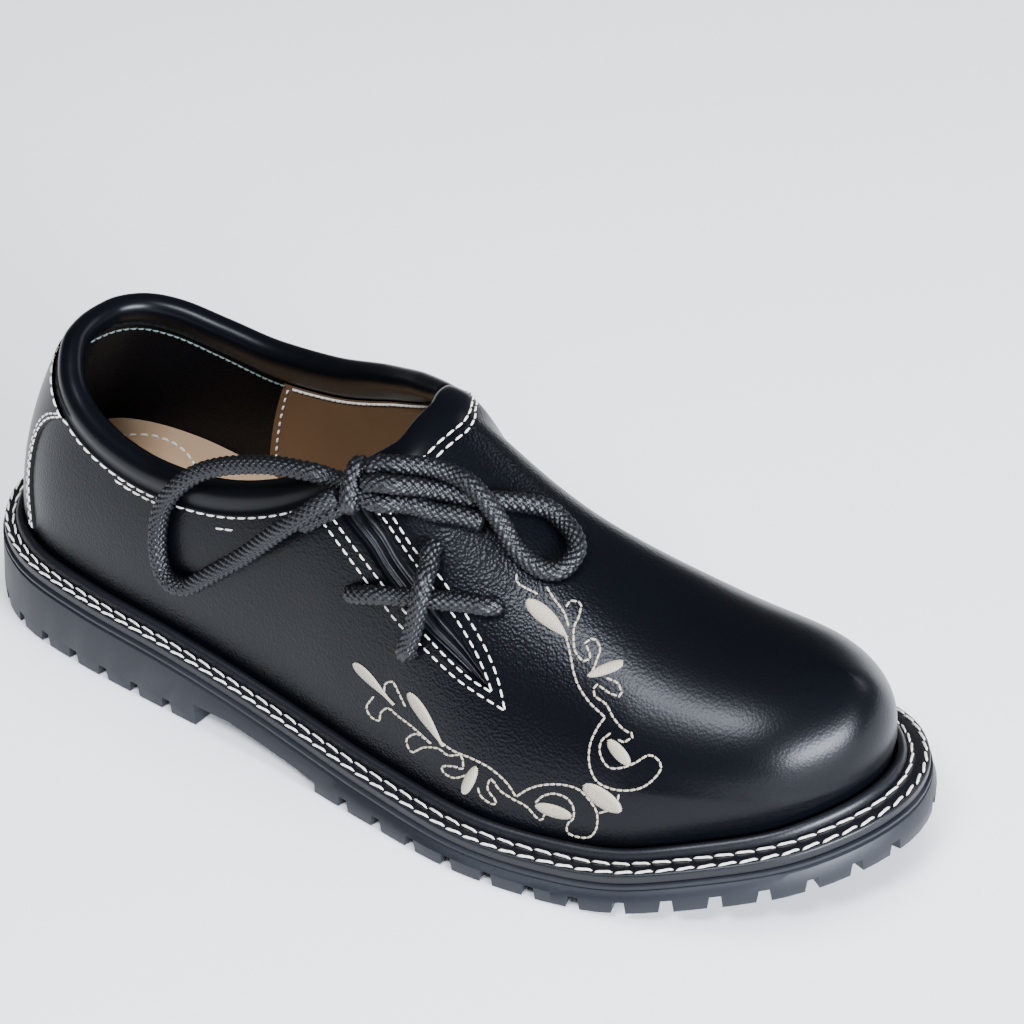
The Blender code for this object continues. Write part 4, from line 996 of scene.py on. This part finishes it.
# Stems, loops and scrolls, each by its places.
SCROLLS = [
    [(8.56, 0.16), (8.42, 0.12), (8.51, 0.10), (8.67, 0.10), (8.70, 0.12), (8.85, 0.14), (9.08, 0.13),
     (9.51, 0.12), (9.96, 0.11)],
    [(8.78, 0.18), (8.80, 0.20), (8.95, 0.21), (9.08, 0.19), (9.28, 0.16)],
    [(9.96, 0.11), (9.65, 0.11), (9.31, 0.08), (9.46, 0.06), (9.83, 0.09), (10.07, 0.11), (10.20, 0.11), (10.35, 0.13),
     (10.37, 0.10), (10.26, 0.09), (10.12, 0.07), (10.14, 0.06), (10.26, 0.06), (10.47, 0.10), (10.52, 0.11)],
    [(10.54, 0.07), (10.57, 0.05), (10.69, 0.04), (10.72, 0.05), (10.64, 0.08), (10.67, 0.11), (10.76, 0.09),
     (10.87, 0.08), (11.01, 0.07), (11.14, 0.04), (11.19, 0.07)],
    [(10.10, 0.13), (10.26, 0.13), (10.47, 0.14), (10.66, 0.14), (10.82, 0.12), (10.91, 0.09)],
    [(10.91, 0.09), (11.04, 0.13), (11.19, 0.16), (11.36, 0.18), (11.49, 0.18), (11.60, 0.15), (11.65, 0.12),
     (11.65, 0.06),
     (11.59, 0.02), (11.48, 0.01), (11.39, 0.02), (11.39, 0.05), (11.44, 0.08), (11.43, 0.12), (11.37, 0.14),
     (11.26, 0.14), (11.16, 0.12), (11.09, 0.09)],
    [(11.85, 0.21), (11.84, 0.18)], [(11.67, 0.12), (11.76, 0.14)],
    [(10.99, 0.67), (10.80, 0.66), (10.79, 0.68)],
    [(11.06, 0.71), (11.14, 0.69), (11.24, 0.67), (11.29, 0.64)],
    [(11.25, 0.69), (11.29, 0.72), (11.37, 0.73), (11.37, 0.69), (11.34, 0.65), (11.35, 0.60), (11.37, 0.58),
     (11.45, 0.57), (11.50, 0.59), (11.46, 0.62)],
    [(11.44, 0.62), (11.51, 0.65), (11.58, 0.64), (11.56, 0.59), (11.53, 0.55)],
    [(11.66, 0.56), (11.78, 0.56), (11.80, 0.53), (11.72, 0.52), (11.58, 0.52), (11.57, 0.49), (11.68, 0.48),
     (11.76, 0.45), (11.85, 0.43), (11.94, 0.42), (11.87, 0.39), (11.81, 0.39)],
    [(11.27, 0.61), (11.32, 0.57), (11.37, 0.52), (11.42, 0.49), (11.53, 0.46), (11.68, 0.44)],
    [(11.68, 0.44), (11.61, 0.39), (11.56, 0.33), (11.57, 0.27), (11.64, 0.23), (11.77, 0.22), (11.95, 0.23),
     (12.11, 0.26),
     (12.24, 0.33), (12.21, 0.36), (12.12, 0.37), (11.98, 0.33), (11.85, 0.30), (11.74, 0.29), (11.66, 0.32),
     (11.66, 0.36), (11.74, 0.40)]]
leaf_verts, leaf_faces = [], []
for leaf in LEAVES:
    verts, faces = satin_leaf(*leaf)
    leaf_faces += [[v + len(leaf_verts) for v in face] for face in faces]
    leaf_verts += verts
mesh_piece("embroidered_leaves", leaf_verts, leaf_faces, rayon)
seam("embroidered_scrolls", SCROLLS, 0.0019, 0.0021, 0.00062).data.materials[0] = rayon


# ---- Lace ----
# A round braided cord of black polyester, 5 mm thick, threaded through punched holes on both
# sides of the slit: it crosses once, is tied in a bow at the collar, and one end shows.

BRAID_RADIUS, BRAID_PITCH, BRAID_STRANDS = 0.00285, 0.0024, 8
BRAID_SIDES, BRAID_STEP = 48, 0.0003


def braided(name, route):
    """A tube along a route in tenths of a millimetre, with the bumps of the braid's strands; and its middle line."""
    line = curve_through(np.array(route) / 10000, 16)
    lengths = np.concatenate([[0], np.cumsum(np.linalg.norm(np.diff(line, axis=0), axis=1))])
    marks = np.linspace(0, lengths[-1], max(4, int(lengths[-1] / BRAID_STEP)))
    path = np.column_stack([np.interp(marks, lengths, line[:, axis]) for axis in range(3)])
    runs = np.gradient(path, axis=0)
    runs /= np.linalg.norm(runs, axis=1, keepdims=True)
    side = np.cross(runs[0], (0.1, 0.2, 1.0))
    share = np.arange(BRAID_SIDES + 1) % BRAID_SIDES / BRAID_SIDES
    rings = []
    for k, (point, run) in enumerate(zip(path, runs)):
        side = side - run * np.dot(side, run)
        side /= np.linalg.norm(side)
        up = np.cross(run, side)
        strands, turns = BRAID_STRANDS * share, marks[k] / BRAID_PITCH
        one, other = strands + turns, strands - turns
        even = (np.floor(one) + np.floor(other)) % 2 == 0
        over_it, along_it = np.where(even, one, other) % 1, np.where(even, other, one) % 1
        bump = np.sin(math.pi * over_it) ** 0.6 * (0.25 + 0.75 * np.sin(math.pi * along_it) ** 0.7)
        ends = min(1.0, math.sqrt(min(k, len(path) - 1 - k) / 4 + 0.02))
        girth = BRAID_RADIUS * (0.73 + 0.27 * bump) * ends
        turn = 2 * math.pi * share
        rings.append(point + np.outer(np.cos(turn) * girth, side) + np.outer(np.sin(turn) * girth, up))
    cord = lay_sheet(name, rings)
    bpy.ops.object.mode_set(mode="EDIT")
    close_ends()
    return settle(cord, lace_braid), path - SHIFT


# Dyed polyester braid: deep black, dry, with a little fuzz that catches light at grazing angles.
lace_braid = finish_named("black polyester braid", "06070A", 0.42, 1.5, Specular_IOR_Level=0.4)
roughen(lace_braid, 2600.0, 2.0, 0.25, 0.0001)

# Routes in tenths of a millimetre.
UNDER = [(1535, -375, 600), (1560, -400, 620), (1635, -405, 650), (1705, -385, 660), (1770, -375, 675),
         (1830, -355, 675), (1890, -335, 680), (1940, -320, 680), (1965, -285, 670)]
OVER = [(1745, -395, 500), (1750, -435, 520), (1760, -430, 555), (1775, -425, 610), (1785, -420, 665),
        (1790, -410, 705), (1785, -385, 745), (1775, -345, 765), (1760, -315, 785), (1755, -280, 795)]
STRAND_REAR = [(1515, -318, 890), (1480, -315, 845), (1450, -335, 820), (1410, -345, 790), (1370, -355, 760),
               (1345, -325, 745)]
STRAND_FRONT = [(1540, -295, 905), (1565, -275, 915), (1595, -265, 930), (1620, -240, 925)]
LOOP_REAR = [(1500, -312, 910), (1440, -305, 900), (1395, -325, 915), (1340, -330, 910), (1260, -330, 895),
             (1165, -330, 865), (1065, -335, 825), (980, -345, 775), (915, -365, 710), (865, -370, 625),
             (850, -380, 545), (855, -390, 480), (870, -395, 430), (910, -405, 410), (965, -405, 420),
             (1025, -405, 470), (1095, -400, 530), (1175, -395, 600), (1250, -400, 675), (1330, -405, 755),
             (1395, -395, 815), (1450, -372, 865), (1490, -345, 890)]
LOOP_FRONT = [(1550, -325, 935), (1605, -320, 955), (1640, -310, 955), (1675, -270, 940), (1710, -230, 920),
              (1755, -200, 905), (1795, -180, 895), (1835, -150, 885), (1875, -115, 875), (1920, -75, 860),
              (1960, -45, 840), (2000, -40, 815), (2045, -55, 795), (2075, -85, 775), (2080, -125, 760),
              (2070, -160, 750), (2040, -180, 750), (2010, -190, 760), (1975, -195, 780), (1940, -195, 810),
              (1915, -195, 850), (1885, -195, 890), (1850, -195, 925), (1805, -190, 950), (1750, -190, 960),
              (1700, -205, 970), (1655, -235, 980), (1615, -265, 985), (1575, -280, 980), (1545, -300, 955)]
FREE_END = [(1535, -330, 900), (1605, -330, 895), (1630, -315, 895), (1660, -290, 890), (1695, -275, 885),
            (1735, -255, 870), (1785, -230, 865), (1825, -210, 855), (1855, -195, 845)]
# The lace wraps once round the strands of the bow, across them and over their top.
KNOT_MIDDLE = np.array((1525, -320, 919))
KNOT_ALONG, KNOT_OUT = np.array((0.096, -0.596, -0.797)) * 57, np.array((-0.082, -0.803, 0.590)) * 23
KNOT_WRAP = [KNOT_MIDDLE + KNOT_ALONG * math.cos(a) + KNOT_OUT * math.sin(a)
             for a in np.linspace(math.radians(-35), math.radians(215), 13)]

braided("lace_crossing_under", UNDER)
crossing, _ = braided("lace_crossing_over", OVER)
wrap, _ = braided("lace_knot_wrap", KNOT_WRAP)
braided("lace_strand_rear", STRAND_REAR)
braided("lace_strand_front", STRAND_FRONT)
loop_rear, rear_path = braided("lace_bow_rear", LOOP_REAR)
loop_front, front_path = braided("lace_bow_front", LOOP_FRONT)
free_end, end_path = braided("lace_free_end", FREE_END)
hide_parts("lace_crossing")
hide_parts("lace_knot")
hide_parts("lace_loop_rear")
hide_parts("lace_loop_front")
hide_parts("lace_end")


# ---- Stage ----
# A plain pale floor, soft studio light, and a camera at the photograph's angle to the shoe.

bpy.ops.object.select_all(action="DESELECT")
bpy.ops.mesh.primitive_plane_add(size=30, location=(0, 0, -0.0005))
floor = bpy.context.active_object
floor.name = "studio_floor"
pale = finish_named("matt pale backdrop", "F2F2F2", 0.9)
floor.data.materials.append(pale)

# The camera's turn, height, roll and distance are the ones that fit the photograph's outlines.
AZIMUTH, ELEVATION, ROLL_ANGLE = math.radians(35.974), math.radians(36.099), math.radians(-2.182)
DISTANCE, FOCAL, FRAME = 0.858256, 2990.297, 1024.0
TARGET = np.array([0.1525, 0.0, 0.030])
OFFSET = (-81.047, 100.067)
back = np.array([math.sin(AZIMUTH) * math.cos(ELEVATION), -math.cos(AZIMUTH) * math.cos(ELEVATION),
                 math.sin(ELEVATION)])
level = np.array([math.cos(AZIMUTH), math.sin(AZIMUTH), 0.0])
upright = np.cross(back, level)
right = math.cos(ROLL_ANGLE) * level + math.sin(ROLL_ANGLE) * upright
over = -math.sin(ROLL_ANGLE) * level + math.cos(ROLL_ANGLE) * upright
eye = TARGET + back * DISTANCE - SHIFT
bpy.ops.object.camera_add(location=eye)
camera = bpy.context.active_object
camera.matrix_world = Matrix.Translation(eye) @ Matrix(np.column_stack([right, over, back]).tolist()).to_4x4()
camera.data.sensor_fit = "HORIZONTAL"
camera.data.sensor_width = 36.0
camera.data.lens = FOCAL / FRAME * 36.0
camera.data.shift_x = -OFFSET[0] / FRAME
camera.data.shift_y = OFFSET[1] / FRAME
camera.data.clip_start = 0.01
bpy.context.scene.camera = camera


def softbox(name, place, aim, size, power, colour="FFFFFF"):
    """A rectangular area light that looks at a point."""
    bpy.ops.object.light_add(type="AREA", location=place)
    light = bpy.context.active_object
    light.name = name
    light.data.shape = "RECTANGLE"
    light.data.size, light.data.size_y = size
    light.data.energy = power
    light.data.color = linear(colour)[:3]
    light.rotation_euler = (Vector(aim) - Vector(place)).to_track_quat("-Z", "Y").to_euler()


# The light from above fills the shadows and doesn't mirror in the leather. The key light makes the
# toe's highlight, the one high in front makes those beside the slit.
softbox("overhead", (0.1, 0.25, 1.5), (0, 0, 0.05), (1.2, 0.9), 28)
bpy.context.active_object.visible_glossy = False
softbox("toe_key", (1.49, -0.56, 0.51), (0.12, 0, 0.05), (0.95, 0.42), 120, "EAF1FF")
softbox("front_high", (0.11, -0.85, 1.32), (0.05, 0, 0.05), (0.5, 0.36), 32, "EAF1FF")
softbox("rear_rim", (0.9, 1.3, 0.9), (0.05, 0, 0.05), (0.8, 0.6), 6, "F4F7FF")
world = bpy.data.worlds.new("studio")
world.use_nodes = True
world.node_tree.nodes["Background"].inputs["Color"].default_value = linear("F4F6FA")
world.node_tree.nodes["Background"].inputs["Strength"].default_value = 0.16
bpy.context.scene.world = world
